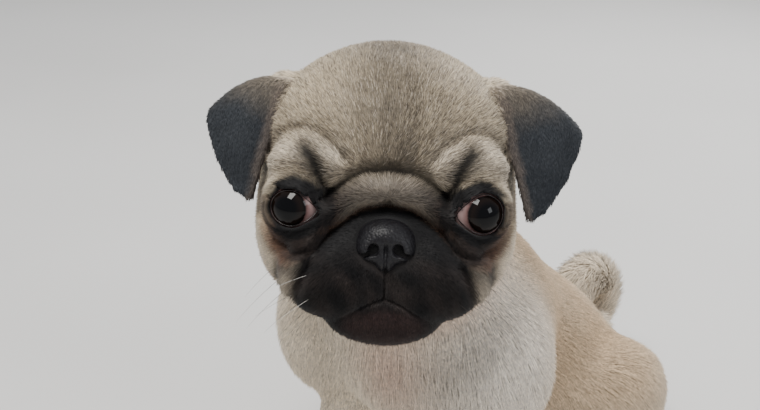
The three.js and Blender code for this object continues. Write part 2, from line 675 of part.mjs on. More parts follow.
function earLeaf(side) {
  const [nu, nv] = ear.steps;
  const lines = Array.from({ length: nv + 1 }, (_, j) => earLine(j / nv, side).getSpacedPoints(nu));
  const normal = (i, j) => {
    const along = lines[j][Math.min(i + 1, nu)].clone().sub(lines[j][Math.max(i - 1, 0)]);
    const across = lines[Math.min(j + 1, nv)][i].clone().sub(lines[Math.max(j - 1, 0)][i]);
    return across.cross(along).normalize();
  };
  const vertices = [];
  for (const layer of [1, -1])
    for (let j = 0; j <= nv; j++)
      for (let i = 0; i <= nu; i++) {
        const rim = j === 0 || j === nv ? 0.6 : 1;
        const thick = (ear.thickRoot + (ear.thickTip - ear.thickRoot) * Math.min(1, (1.6 * i) / nu)) * rim;
        const p = lines[j][i].clone().addScaledVector(normal(i, j), (layer * thick) / 2);
        vertices.push([p.x * side, p.y, p.z]);
      }
  const at = (layer, i, j) => layer * (nu + 1) * (nv + 1) + j * (nu + 1) + i;
  const triangles = [];
  const quad = (a, b, c, d) => triangles.push([a, b, c], [a, c, d]);
  for (let j = 0; j < nv; j++)
    for (let i = 0; i < nu; i++) {
      quad(at(0, i, j), at(0, i, j + 1), at(0, i + 1, j + 1), at(0, i + 1, j));
      triangles.push([at(1, i, j), at(1, i + 1, j + 1), at(1, i, j + 1)]);
      triangles.push([at(1, i, j), at(1, i + 1, j), at(1, i + 1, j + 1)]);
    }
  for (let i = 0; i < nu; i++) {
    quad(at(0, i, 0), at(0, i + 1, 0), at(1, i + 1, 0), at(1, i, 0));
    quad(at(0, i + 1, nv), at(0, i, nv), at(1, i, nv), at(1, i + 1, nv));
  }
  for (let j = 0; j < nv; j++) {
    quad(at(0, 0, j + 1), at(0, 0, j), at(1, 0, j), at(1, 0, j + 1));
    quad(at(0, nu, j), at(0, nu, j + 1), at(1, nu, j + 1), at(1, nu, j));
  }
  const placed = vertices.map((p) => new THREE.Vector3(...p).applyMatrix4(headFrame).toArray());
  const turned = side > 0 ? triangles : triangles.map(([a, b, c]) => [a, c, b]);
  return solidOf({ vertices: placed, triangles: turned });
}
// The knuckle of flesh at an ear's root, which sits in a hollow of the head.
function earBase(side, grow) {
  const { at, size, turn } = ear.base;
  const frame = headFrame.clone()
    .multiply(new THREE.Matrix4().makeTranslation(side * at[0], at[1], at[2]))
    .multiply(new THREE.Matrix4().makeRotationZ(-side * turn[0]))
    .multiply(new THREE.Matrix4().makeRotationX(-turn[1]));
  return ellipsoid([0, 0, 0], size, grow, frame, 18);
}

function clawsOf(paw, side) {
  const frontTurn = degrees(paw.turn);
  const forward = new THREE.Vector3(Math.sin(frontTurn), -Math.cos(frontTurn), 0);
  const aim = forward.clone().multiplyScalar(Math.cos(degrees(claw.droop)));
  aim.z = -Math.sin(degrees(claw.droop));
  const length = claw.length + claw.sink;
  const turn = new THREE.Quaternion().setFromUnitVectors(
    new THREE.Vector3(0, 1, 0), new THREE.Vector3(aim.x * side, aim.y, aim.z));
  return toeCentres(paw).map((at) => {
    const root = new THREE.Vector3(...at).addScaledVector(forward, toe.size[1] - claw.sink);
    const middle = root.addScaledVector(aim, length / 2);
    middle.z += claw.raise;
    middle.x *= side;
    const matrix = new THREE.Matrix4().compose(middle, turn, new THREE.Vector3(1, 1, 1));
    return solidFrom(new THREE.ConeGeometry(claw.radius, length, claw.facets), matrix);
  });
}

const nodes = new THREE.Group();
function addNode(name, solid, color, roughness = 0.85) {
  const material = new THREE.MeshStandardMaterial({ color, roughness, metalness: 0 });
  const mesh = new THREE.Mesh(geometryOf(cleaned(solid)), material);
  mesh.name = name;
  nodes.add(mesh);
}
const sides = { left: 1, right: -1 };
const mirrorX = (side, low, high) =>
  side > 0 ? [low, high] : [[-high[0], low[1], low[2]], [-low[0], high[1], high[2]]];
const joined = (solid, pieces) => pieces.reduce((whole, piece) => whole.add(piece), solid);
const without = (solid, pieces) => pieces.reduce((whole, piece) => whole.subtract(piece), solid);
const besideGap = 1.3 * gap;

// Head, jaw and nose come from one finely meshed surface.
const faceCare = (p) => {
  inHead.set(...p).applyMatrix4(headFrameInverse);
  return inHead.y < 12 ? 5 : 1;
};
const wholeHead = flesh({
  low: [-68, -124, 96], high: [66, 26, 226], cell: 1.8, triangles: 6000, care: faceCare,
  keep: [halfSpace(throat, 1)],
});
const aroundHead = thickened(wholeHead, besideGap);
const sockets = Object.values(sides).map(eyeSocket);
const earHollows = Object.values(sides).map((side) => earBase(side, gap));
const headCuts = [...sockets, jawPrism(gap / 2), noseBlock(gap / 2), ...earHollows];
addNode("head", largestBody(without(wholeHead, headCuts)), fawn);
addNode("jaw", largestBody(wholeHead.intersect(jawPrism(-gap / 2))), maskBlack);
const noseWhole = wholeHead.intersect(noseBlock(-gap / 2));
addNode("nose", largestBody(without(noseWhole, nostrils())), noseBlack, 0.35);
for (const [name, side] of Object.entries(sides)) {
  addNode(`eye_${name}`, solidFrom(eyeShape(eyeRadius), eyeFrame(side)), eyeBrown, 0.05);
  addNode(`ear_${name}`, largestBody(earLeaf(side).subtract(aroundHead).add(earBase(side, 0))), earBlack);
}

// Trunk
const sideBlock = ({ inner, outer, front, back, top }, side, grow) =>
  block(...mirrorX(side, [inner, front, -10], [outer, back, top]), grow);
const footBlock = (side, grow) => sideBlock(hindfoot, side, grow);
function thighCut(side, grow) {
  const [x, y, z] = thigh.at;
  return ellipsoid([side * x, y, z], thigh.size, grow).add(sideBlock(shank, side, grow));
}
function forelegBlock(side, grow) {
  const { inner, outer, front, back } = foreleg;
  const slope = (elbow.right[1] - elbow.left[1]) / (elbow.right[0] - elbow.left[0]);
  const top = (x) => elbow.left[1] + slope * (x - elbow.left[0]) + grow;
  const outline = [[inner - grow, -10], [outer, -10], [outer, top(outer)], [inner - grow, top(inner - grow)]];
  const shape = new THREE.Shape(outline.map(([x, z]) => new THREE.Vector2(x * side, z)));
  const prism = new THREE.ExtrudeGeometry(shape, { depth: back - front + grow, bevelEnabled: false });
  const upright = new THREE.Matrix4().makeRotationX(degrees(90)).setPosition(0, back + grow, 0);
  return solidFrom(prism, upright);
}
const limbCuts = Object.values(sides).flatMap((side) => [
  forelegBlock(side, gap / 2), thighCut(side, gap / 2), footBlock(side, gap / 2),
]);
const trunk = { low: [-76, -80, -6], high: [76, 92, 140], cell: 3.2, triangles: 2400 };
addNode("neck", flesh({
  ...trunk, low: [-60, -90, 92], high: [60, 40, 190], triangles: 1100,
  keep: [halfSpace(throat, -1), halfSpace(collar, 1)],
}), fawn);
addNode("chest", flesh({
  ...trunk, keep: [halfSpace(throat, -1), halfSpace(collar, -1), halfSpace(loin, -1)], cut: limbCuts,
}), cream);
const rump = flesh({ ...trunk, high: [76, 112, 140], keep: [halfSpace(loin, 1)], cut: limbCuts });

// Limbs
const wrist = (side) => ({ point: [0, 0, wristHeight], normal: [0, 0, side] });
for (const [name, side] of Object.entries(sides)) {
  const legBox = mirrorX(side, [2, -84, -5], [70, 6, 100]);
  addNode(`foreleg_${name}`, flesh({
    low: legBox[0], high: legBox[1], cell: 2.6, triangles: 600,
    keep: [forelegBlock(side, -gap / 2), halfSpace(wrist(1), 1)],
    cut: [footBlock(side, gap / 2)],
  }), cream);
  const pawBox = mirrorX(side, [4, -84, -4], [58, -14, 26]);
  const forepaw = flesh({
    low: pawBox[0], high: pawBox[1], cell: 1.5, triangles: 800,
    keep: [forelegBlock(side, -gap / 2), halfSpace(wrist(-1), 1)],
    cut: [footBlock(side, gap / 2)],
  });
  addNode(`forepaw_${name}`, joined(forepaw, clawsOf(paws.forepaw, side)), cream);
  const thighBox = mirrorX(side, [14, 4, -5], [78, 106, 84]);
  addNode(`thigh_${name}`, flesh({
    low: thighBox[0], high: thighBox[1], cell: 3, triangles: 600,
    keep: [thighCut(side, -gap / 2)], cut: [footBlock(side, gap / 2)],
  }), fawn);
  const footBox = mirrorX(side, [26, -36, -4], [84, 34, 34]);
  const foot = flesh({
    low: footBox[0], high: footBox[1], cell: 1.5, triangles: 900,
    keep: [footBlock(side, -gap / 2)],
  });
  addNode(`hindfoot_${name}`, joined(foot, clawsOf(paws.hindfoot, side)), cream);
}

// The tail, in two lengths. The curl starts on the root's round end, a gap away from it.
const tailBox = { low: [-34, 44, 4], high: [56, 140, 104], cell: 1.6 };
const tailPiece = (masses, triangles) => {
  const field = (x, y, z) => joinMasses(1e3, masses, x, y, z);
  return solidOf(thin(surfaceOf(field, tailBox.low, tailBox.high, tailBox.cell), triangles));
};
const tailRootPiece = tailPiece(tailMasses.slice(0, tailSplit), 260);
const tailCurlPiece = tailPiece(tailMasses.slice(tailSplit), 900);
const aroundRoot = thickened(tailRootPiece, besideGap);
const aroundTail = aroundRoot.add(thickened(tailCurlPiece, besideGap));
addNode("hindquarters", largestBody(rump.subtract(aroundTail)), fawn);
addNode("tail_root", tailRootPiece, fawn);
addNode("tail_curl", largestBody(tailCurlPiece.subtract(aroundRoot)), cream);

// The group's origin is on the floor, under the middle of the whole puppy.
const extent = new THREE.Box3().setFromObject(nodes);
const middle = extent.getCenter(new THREE.Vector3());
const puppy = new THREE.Group();
nodes.position.set(-middle.x, -middle.y, -extent.min.z);
puppy.add(nodes);

export default puppy;
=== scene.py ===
# A pug puppy of about ten weeks, sitting with its head turned to the viewer, as a museum shows it.
# Lengths are in millimetres in the part's own frame until a piece is made, and then in metres.
import math
import bpy
import bmesh
import numpy as np
from mathutils import Matrix, Vector


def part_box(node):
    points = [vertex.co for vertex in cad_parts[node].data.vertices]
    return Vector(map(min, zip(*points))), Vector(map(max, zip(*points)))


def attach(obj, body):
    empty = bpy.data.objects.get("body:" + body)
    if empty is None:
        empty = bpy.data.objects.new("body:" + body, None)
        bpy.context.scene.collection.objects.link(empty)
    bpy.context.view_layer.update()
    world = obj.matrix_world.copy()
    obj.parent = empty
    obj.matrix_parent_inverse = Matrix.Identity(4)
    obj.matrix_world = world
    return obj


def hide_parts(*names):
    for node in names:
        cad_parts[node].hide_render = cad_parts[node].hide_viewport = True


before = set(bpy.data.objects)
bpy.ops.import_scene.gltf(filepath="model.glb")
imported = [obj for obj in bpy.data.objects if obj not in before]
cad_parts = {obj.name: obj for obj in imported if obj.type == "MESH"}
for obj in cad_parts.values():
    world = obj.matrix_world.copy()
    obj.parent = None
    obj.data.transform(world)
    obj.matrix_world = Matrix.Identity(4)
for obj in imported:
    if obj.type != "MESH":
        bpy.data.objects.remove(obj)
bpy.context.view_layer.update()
mm = 0.001

# The head's own frame: its origin is midway between the eyes and the face looks along -Y.
head = {"eyeMiddle": (20, -72, 165), "turn": 38, "raise": 15, "tilt": 2, "width": 92}
eye = {"spacing": 57, "radius": 8.5, "outward": 12, "gaze": 19, "lidHalf": (6.7, 6.3), "lidCorner": 1.4,
       "lidFlare": 0.22, "lidGap": 0.1, "rimSoftness": 0.7, "corneaRadius": 5.8, "corneaRise": 0.45,
       "iris": 6.0, "pupil": 3.4, "lidScale": {1: 1.0, -1: 0.9}, "cornerClose": 0.28, "cornerDrop": 0.6,
       "wetRim": 0.16, "rimSteps": 64, "rimInset": 0.985}


def rotation(axis, degreesTurned):
    return np.array(Matrix.Rotation(math.radians(degreesTurned), 3, axis))


headTurn = rotation("Z", head["turn"]) @ rotation("X", -head["raise"]) @ rotation("Y", head["tilt"])
eyeMiddle = np.array(head["eyeMiddle"], float)


def boxMiddle(node):
    low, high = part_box(node)
    return (np.array(low) + np.array(high)) / 2


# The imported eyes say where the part's own frame lies in the shared one.
shift = (boxMiddle("eye_left") + boxMiddle("eye_right")) / 2 / mm - eyeMiddle


def toHead(points):
    return (points - eyeMiddle) @ headTurn


def fromHead(points):
    return np.asarray(points, float) @ headTurn.T + eyeMiddle


# The masses of the body, the head and the paws. A ball has a centre and three radii, a limb two ends with
# a radius at each; soft is how far a mass melts into those before it, and pair puts it on both sides.
bodyMasses = [
    {"at": (0, -10, 85), "size": (44, 42, 43), "soft": 1},
    {"at": (0, -34, 90), "size": (31, 22, 31), "soft": 10},
    {"at": (30, -25, 87), "size": (23, 27, 32), "soft": 12},
    {"at": (-37, -31, 86), "size": (23, 27, 34), "soft": 12},
    {"from": (0, 0, 93), "to": (0, 50, 51), "radii": (34, 33), "soft": 12},
    {"at": (0, 36, 44), "size": (46, 42, 38), "soft": 12},
    {"at": (0, 62, 33.5), "size": (50, 29, 35), "soft": 12},
    {"pair": True, "from": (31, -20, 78), "to": (28, -38, 26), "radii": (19, 12.5), "soft": 9},
    {"pair": True, "from": (28, -38, 26), "to": (28, -44, 12), "radii": (12.5, 12.5), "soft": 5},
    {"pair": True, "at": (47.5, 54, 30), "size": (19.5, 36, 28), "lean": -6, "soft": 14},
    {"pair": True, "from": (52, 38, 12), "to": (52, 6, 10), "radii": (12.5, 11.5), "soft": 6},
]
neckMass = {"from": (-2, -18, 103), "to": (-6, -39, 144), "radii": (37, 36), "soft": 10}
skullMasses = [
    {"at": (0, 40, 9), "size": (head["width"] * 0.484, 45, 42.5), "soft": 1},
    {"at": (0, 22, 23), "size": (38.5, 27, 24), "soft": 10},
    {"pair": True, "at": (25, 25, -11), "size": (19, 29, 24), "soft": 9},
    {"at": (0, 6, -18), "size": (29, 19, 21), "soft": 7},
    {"at": (0, 16, -27), "size": (26, 24, 17), "soft": 6},
    {"at": (0, -1, -33.5), "size": (19, 11.5, 10.5), "soft": 4},
    {"pair": True, "at": (14.2, -3, -20.4), "size": (18.3, 13.5, 15), "soft": 3},
    {"pair": True, "at": (24, 4, 13), "size": (13, 9, 8), "soft": 6},
    {"pair": True, "at": (eye["spacing"] / 2, 0.4, 0), "size": (10.9, 10.9, 10.9), "soft": 4},
    {"at": (0, -7.5, -9), "size": (9, 7, 8.2), "soft": 3},
]
paws = {
    "places": [{"at": (28, -47, 9), "turn": 4}, {"at": (52, 2, 9), "turn": 12}],
    "padSize": (13.5, 15, 11.5), "padSoft": 4,
    "toeCount": 4, "toeSpread": 6.3, "toeReach": 12.5, "toeSweep": 3.4,
    "toeSize": (4.5, 8.5, 7), "toeSoft": 1.2,
}
tail = {"start": (0, 80, 29), "centre": (7, 95, 50), "radius": 16.5, "angle": -118, "turn": 375,
        "turnSteps": 16, "shrink": 0.42, "rise": 16, "yaw": 15, "root": 12, "tip": 9, "taper": 1.3,
        "steps": 26, "soft": 3}
ear = {
    "root": [(31, 22, 34), (38, 36, 31), (41, 50, 19)],
    "fold": [(34.5, 18, 36.5), (48, 26, 34), (61, 33, 24)],
    "tip": (47.5, 13, -2), "tipSpread": (2.2, 1.2, 1),
    "flapBow": (2.2, 0.5, -1), "flapSwell": (1, -3.5, 0.5),
    "thickRoot": 3.4, "thickTip": 1.7, "soft": 1.6, "swell": 0.75,
    "shift": {1: {"fold": (2.5, 0, 0), "tip": (1.5, 0, 0)},
              -1: {"fold": (-1.2, 0, 2), "tip": (-0.5, 0, 4)}},
    "steps": (56, 40),
    "base": {"at": (36.5, 36, 29.5), "size": (7, 17.5, 8), "turn": (0.28, 0.42), "soft": 3},
}

# Folds and furrows, drawn on the front of the face, x across and z up, for both sides. lift is the height
# of a roll, or below zero the depth of a crease, which fades to fade of that at the stroke's far end.
faceStrokes = {
    "noseRoll": {"lift": 3.4, "width": 4.2, "fade": 0.35,
                 "line": [(0, 6.6), (9, 5.2), (17, -1), (23, -8.5), (28, -16), (31, -23)]},
    "creaseOverRoll": {"lift": -2.4, "width": 2.1, "fade": 0.7,
                       "line": [(0, 12.2), (8, 11.2), (14, 7.8), (19, 3)]},
    "creaseUnderRoll": {"lift": -4.6, "width": 2.0, "fade": 0.3,
                        "line": [(0, 0.9), (8, -0.8), (15, -5.5), (20.5, -12), (24.5, -19), (27, -26)]},
    "lipParting": {"lift": -1.2, "width": 0.7, "fade": 1, "line": [(0, -16), (0, -26)]},
    "mouth": {"lift": -1.4, "width": 0.8, "fade": 0.1,
              "line": [(0, -26.3), (5, -28), (10.5, -31.6), (15.5, -35.2)]},
    "brow": {"lift": 1.2, "width": 4, "fade": 0.6, "line": [(18, 14), (26, 17), (34, 14.5), (39, 9)]},
    "browCrease": {"lift": -0.9, "width": 1.7, "fade": 0.7,
                   "line": [(13, 15), (17, 19.6), (25, 24), (33, 21.7), (38, 16.5)]},
    "innerBrow": {"lift": -1.0, "width": 2.2, "fade": 0.8,
                  "line": [(18.5, 3), (19.7, 6.6), (21.3, 12.9), (25, 17.5)]},
    "underEye": {"lift": -1.4, "width": 1.4, "fade": 0.8,
                 "line": [(17.5, -5), (21, -10.5), (28, -13.4), (35, -11), (40, -5)]},
    "foreheadMiddle": {"lift": -0.8, "width": 2.2, "fade": 0.5, "line": [(0, 15), (0, 34)]},
    "foreheadSide": {"lift": -0.8, "width": 2, "fade": 0.5, "line": [(7, 15), (9, 25), (8, 35)]},
}
faceDepth = (8, 24)

skin = {"cell": 1.8, "floor": 0.25, "bodyInset": 1.6, "headInset": 0.9, "faceInset": 0.45, "pawInset": 0.6,
        "low": (-74, -110, -4), "high": (76, 130, 214), "eyeReach": 12.5, "underShade": 0.62}


def smoothMin(a, b, soft):
    h = np.maximum(soft - np.abs(a - b), 0) / soft
    return np.minimum(a, b) - h * h * soft / 4


def smoothStep(low, high, value):
    t = np.clip((value - low) / (high - low), 0, 1)
    return t * t * (3 - 2 * t)


def mix(a, b, share):
    a, b, share = (np.asarray(value, float) for value in (a, b, share))
    if share.ndim == 1 and (a.ndim == 2 or a.shape == (3,) or b.shape == (3,)):
        share = share[:, None]
    return a * (1 - share) + b * share


def unit(vectors):
    return vectors / np.maximum(np.linalg.norm(vectors, axis=1, keepdims=True), 1e-9)


def ballDistance(p, mass):
    d = p - np.array(mass["at"], float)
    if mass.get("lean"):
        d = d @ rotation("X", mass["lean"])
    size = np.array(mass["size"], float)
    near = np.linalg.norm(d / size, axis=1)
    steep = np.linalg.norm(d / size ** 2, axis=1)
    return np.where(steep > 0, near * (near - 1) / np.maximum(steep, 1e-9), -size.min())


def limbDistance(p, mass):
    a = np.array(mass["from"], float)
    ab = np.array(mass["to"], float) - a
    t = np.clip((p - a) @ ab / (ab @ ab), 0, 1)
    r0, r1 = mass["radii"]
    return np.linalg.norm(p - a - t[:, None] * ab, axis=1) - (r0 + t * (r1 - r0))


def joinMasses(d, masses, p):
    folded = p.copy()
    folded[:, 0] = np.abs(p[:, 0])
    for mass in masses:
        where = folded if mass.get("pair") else p
        reach = ballDistance(where, mass) if "at" in mass else limbDistance(where, mass)
        d = smoothMin(d, reach, mass["soft"])
    return d


def toeCentres(paw):
    c, s = math.cos(math.radians(paw["turn"])), math.sin(math.radians(paw["turn"]))
    centres = []
    for i in range(paws["toeCount"]):
        out = i - (paws["toeCount"] - 1) / 2
        x = out * paws["toeSpread"]
        y = paws["toeSweep"] * (abs(out) - 0.5) - paws["toeReach"]
        centres.append((paw["at"][0] + x * c - y * s, paw["at"][1] + x * s + y * c, paw["at"][2] - 2))
    return centres


pawMasses = []
for paw in paws["places"]:
    pawMasses.append({"pair": True, "at": paw["at"], "size": paws["padSize"], "soft": paws["padSoft"]})
    for centre in toeCentres(paw):
        pawMasses.append({"pair": True, "at": centre, "size": paws["toeSize"], "soft": paws["toeSoft"]})


# A smooth line through points, and the same line with its points evenly spaced.
def curvePoints(points, count):
    p = np.asarray(points, float)
    spans = len(p) - 1
    p = np.vstack([2 * p[0] - p[1], p, 2 * p[-1] - p[-2]])
    line = []
    for t in np.linspace(0, spans, count):
        i = min(int(t), spans - 1)
        w = t - i
        x0, x1, x2, x3 = p[i:i + 4]
        d0, d1, d2 = (max(np.linalg.norm(b - a) ** 0.5, 1e-4) for a, b in ((x0, x1), (x1, x2), (x2, x3)))
        t1 = ((x1 - x0) / d0 - (x2 - x0) / (d0 + d1) + (x2 - x1) / d1) * d1
        t2 = ((x2 - x1) / d1 - (x3 - x1) / (d1 + d2) + (x3 - x2) / d2) * d1
        square, cube = 3 * (x2 - x1) - 2 * t1 - t2, 2 * (x1 - x2) + t1 + t2
        line.append(x1 + t1 * w + square * w ** 2 + cube * w ** 3)
    return np.array(line)


def spacedPoints(points, count):
    fine = curvePoints(points, 200)
    along = np.concatenate([[0], np.cumsum(np.linalg.norm(np.diff(fine, axis=0), axis=1))])
    wanted = np.linspace(0, along[-1], count)
    return np.stack([np.interp(wanted, along, fine[:, k]) for k in range(fine.shape[1])], axis=1)


def tailLine():
    c, s = math.cos(math.radians(tail["yaw"])), math.sin(math.radians(tail["yaw"]))
    points = [tail["start"]]
    for i in range(tail["turnSteps"] + 1):
        share = i / tail["turnSteps"]
        angle = math.radians(tail["angle"] + tail["turn"] * share)
        r = tail["radius"] * (1 - tail["shrink"] * share)
        out, back = tail["rise"] * (share - 0.5), r * math.cos(angle)
        x, y, z = tail["centre"]
        points.append((x + out * c + back * s, y + back * c - out * s, z + r * math.sin(angle)))
    return spacedPoints(points, tail["steps"] + 1)


tailPoints = tailLine()
tailShare = np.arange(tail["steps"] + 1) / tail["steps"]
tailThick = tail["root"] + (tail["tip"] - tail["root"]) * tailShare ** tail["taper"]


def tailDistance(p):
    d = np.full(len(p), 1e3)
    for i in range(tail["steps"]):
        limb = {"from": tailPoints[i], "to": tailPoints[i + 1], "radii": (tailThick[i], tailThick[i + 1])}
        d = smoothMin(d, limbDistance(p, limb), 0.5)
    return d


strokeLines = {name: curvePoints(s["line"], len(s["line"]) * 3 + 1) for name, s in faceStrokes.items()}


def strokeNear(line, x, z):
    nearest, share = np.full(len(x), 1e9), np.zeros(len(x))
    for i in range(1, len(line)):
        (ax, az), (bx, bz) = line[i - 1], line[i]
        ux, uz = bx - ax, bz - az
        t = np.clip(((x - ax) * ux + (z - az) * uz) / (ux * ux + uz * uz), 0, 1)
        d = np.hypot(x - ax - t * ux, z - az - t * uz)
        closer = d < nearest
        nearest = np.where(closer, d, nearest)
        share = np.where(closer, (i - 1 + t) / (len(line) - 1), share)
    return nearest, share


def strokeLift(x, z):
    lift = np.zeros(len(x))
    for name, stroke in faceStrokes.items():
        nearest, share = strokeNear(strokeLines[name], x, z)
        fading = 1 + (stroke["fade"] - 1) * share
        lift += stroke["lift"] * fading * np.exp(-(nearest / stroke["width"]) ** 2)
    return lift


def headField(h):
    d = joinMasses(np.full(len(h), 1e3), skullMasses, h)
    face = (np.abs(d) < 8) & (h[:, 1] < faceDepth[1])
    f = h[face]
    d[face] -= strokeLift(np.abs(f[:, 0]), f[:, 2]) * (1 - smoothStep(*faceDepth, f[:, 1]))
    return d


# An ear is a folded leaf, held as a dense sheet of points with their directions and thickness.
def alongThree(points, t):
    a, b, c = (np.array(p, float) for p in points)
    middle = 2 * b - (a + c) / 2
    return (1 - t) ** 2 * a + 2 * t * (1 - t) * middle + t * t * c


def earSheet(side):
    nu, nv = ear["steps"]
    moved = ear["shift"][side]
    lines = []
    for v in np.linspace(0, 1, nv + 1):
        root = alongThree(ear["root"], v)
        fold = alongThree(ear["fold"], v) + v * np.array(moved["fold"])
        tip = np.array(ear["tip"]) + (v - 0.5) * 2 * np.array(ear["tipSpread"]) + np.array(moved["tip"])
        swell = math.sin(math.pi * min(max(v, 0.08), 0.92))
        middle = (fold + tip) / 2 + v * np.array(ear["flapBow"]) + swell * np.array(ear["flapSwell"])
        lines.append(spacedPoints([root, fold, middle, tip], nu + 1))
    grid = np.array(lines)
    across = unit(np.gradient(grid, axis=0).reshape(-1, 3))
    along = unit(np.gradient(grid, axis=1).reshape(-1, 3))
    share = np.tile(np.arange(nu + 1) / nu, nv + 1)
    width = np.repeat(np.arange(nv + 1) / nv, nu + 1)
    thick = ear["thickRoot"] + (ear["thickTip"] - ear["thickRoot"]) * np.minimum(1, 1.6 * share)
    mirror = np.array([side, 1, 1])
    return {"points": grid.reshape(-1, 3) * mirror, "normal": unit(np.cross(across, along)) * mirror,
            "along": along * mirror, "share": share, "width": width, "thick": thick, "side": side}


earSheets = [earSheet(side) for side in (1, -1)]


def nearestOf(p, targets, chunk=20000):
    found = np.empty(len(p), int)
    t = targets.astype(np.float32)
    middle = t.mean(0)
    t = t - middle
    size = (t * t).sum(1)
    for i in range(0, len(p), chunk):
        part = (p[i:i + chunk] - middle).astype(np.float32)
        found[i:i + chunk] = (size - 2 * part @ t.T).argmin(1)
    return found


def earDistance(h, sheet):
    d = np.full(len(h), 1e3)
    index = np.zeros(len(h), int)
    low, high = sheet["points"].min(0) - 7, sheet["points"].max(0) + 7
    close = np.all((h > low) & (h < high), axis=1)
    if close.any():
        p = h[close]
        nearest = nearestOf(p, sheet["points"])
        away = p - sheet["points"][nearest]
        off = np.einsum("ij,ij->i", away, sheet["normal"][nearest])
        beside = np.linalg.norm(away - off[:, None] * sheet["normal"][nearest], axis=1)
        beside = np.maximum(beside - 0.6, 0)
        d[close] = np.hypot(off, beside) - sheet["thick"][nearest] / 2 - ear["swell"]
        index[close] = nearest
    return d, index


def earBaseDistance(h, side):
    base = ear["base"]
    across, down = (math.degrees(angle) for angle in base["turn"])
    turned = rotation("Z", -side * across) @ rotation("X", -down)
    q = (h - np.array(base["at"]) * (side, 1, 1)) @ turned
    return ballDistance(q, {"at": (0, 0, 0), "size": base["size"]})


def eyeSpace(h, side):
    return (h - (side * eye["spacing"] / 2, 0, 0)) @ rotation("Z", side * eye["outward"])


def eyeHollow(h):
    hollow = np.full(len(h), 1e3)
    for side in (1, -1):
        q = eyeSpace(h, side)
        ball = np.linalg.norm(q, axis=1) - eye["radius"] - eye["lidGap"]
        inner = np.clip(-side * q[:, 0] / eye["lidHalf"][0], 0, 1.2) ** 2
        tall = eye["lidHalf"][1] * eye["lidScale"][side]
        wide = np.hypot(q[:, 0] / (eye["lidHalf"][0] + eye["lidCorner"] * inner),
                        (q[:, 2] + eye["cornerDrop"] * inner) / (tall * (1 - eye["cornerClose"] * inner)))
        funnel = (wide - 1 + eye["lidFlare"] * q[:, 1] / 16) * eye["lidHalf"][1]
        funnel = np.maximum(funnel, q[:, 1] + 3)
        hollow = np.minimum(hollow, smoothMin(ball, funnel, 0.5))
    return hollow


def coatInset(p, h):
    headness = 1 - smoothStep(50, 64, np.linalg.norm(h - (0, 22, 2), axis=1))
    face = headness * (1 - smoothStep(2, 20, h[:, 1]))
    inset = mix(skin["bodyInset"], skin["pawInset"], 1 - smoothStep(16, 32, p[:, 2]))
    inset = mix(inset, skin["headInset"], headness)
    return mix(inset, skin["faceInset"], face)


def puppyField(p):
    d = joinMasses(np.full(len(p), 1e3), bodyMasses, p)
    low = p[:, 2] < 35
    d[low] = joinMasses(d[low], pawMasses, p[low])
    d = smoothMin(d, limbDistance(p, neckMass), neckMass["soft"])
    behind = p[:, 1] > 66
    d[behind] = smoothMin(d[behind], tailDistance(p[behind]), tail["soft"])
    high = p[:, 2] > 80
    h = toHead(p)
    d[high] = smoothMin(d[high], headField(h[high]), 9)
    d = d + coatInset(p, h)
    beside = high & (np.abs(h[:, 0]) > 22) & (h[:, 1] > 2)
    q = h[beside]
    for sheet in earSheets:
        near, _ = earDistance(q, sheet)
        d[beside] = smoothMin(d[beside], earBaseDistance(q, sheet["side"]), ear["base"]["soft"])
        d[beside] = smoothMin(d[beside], near, ear["soft"])
    front = high & (h[:, 1] < 10) & (np.abs(h[:, 2]) < 18)
    d[front] = -smoothMin(-d[front], eyeHollow(h[front]), eye["rimSoftness"])
    return np.maximum(d, skin["floor"] - p[:, 2])


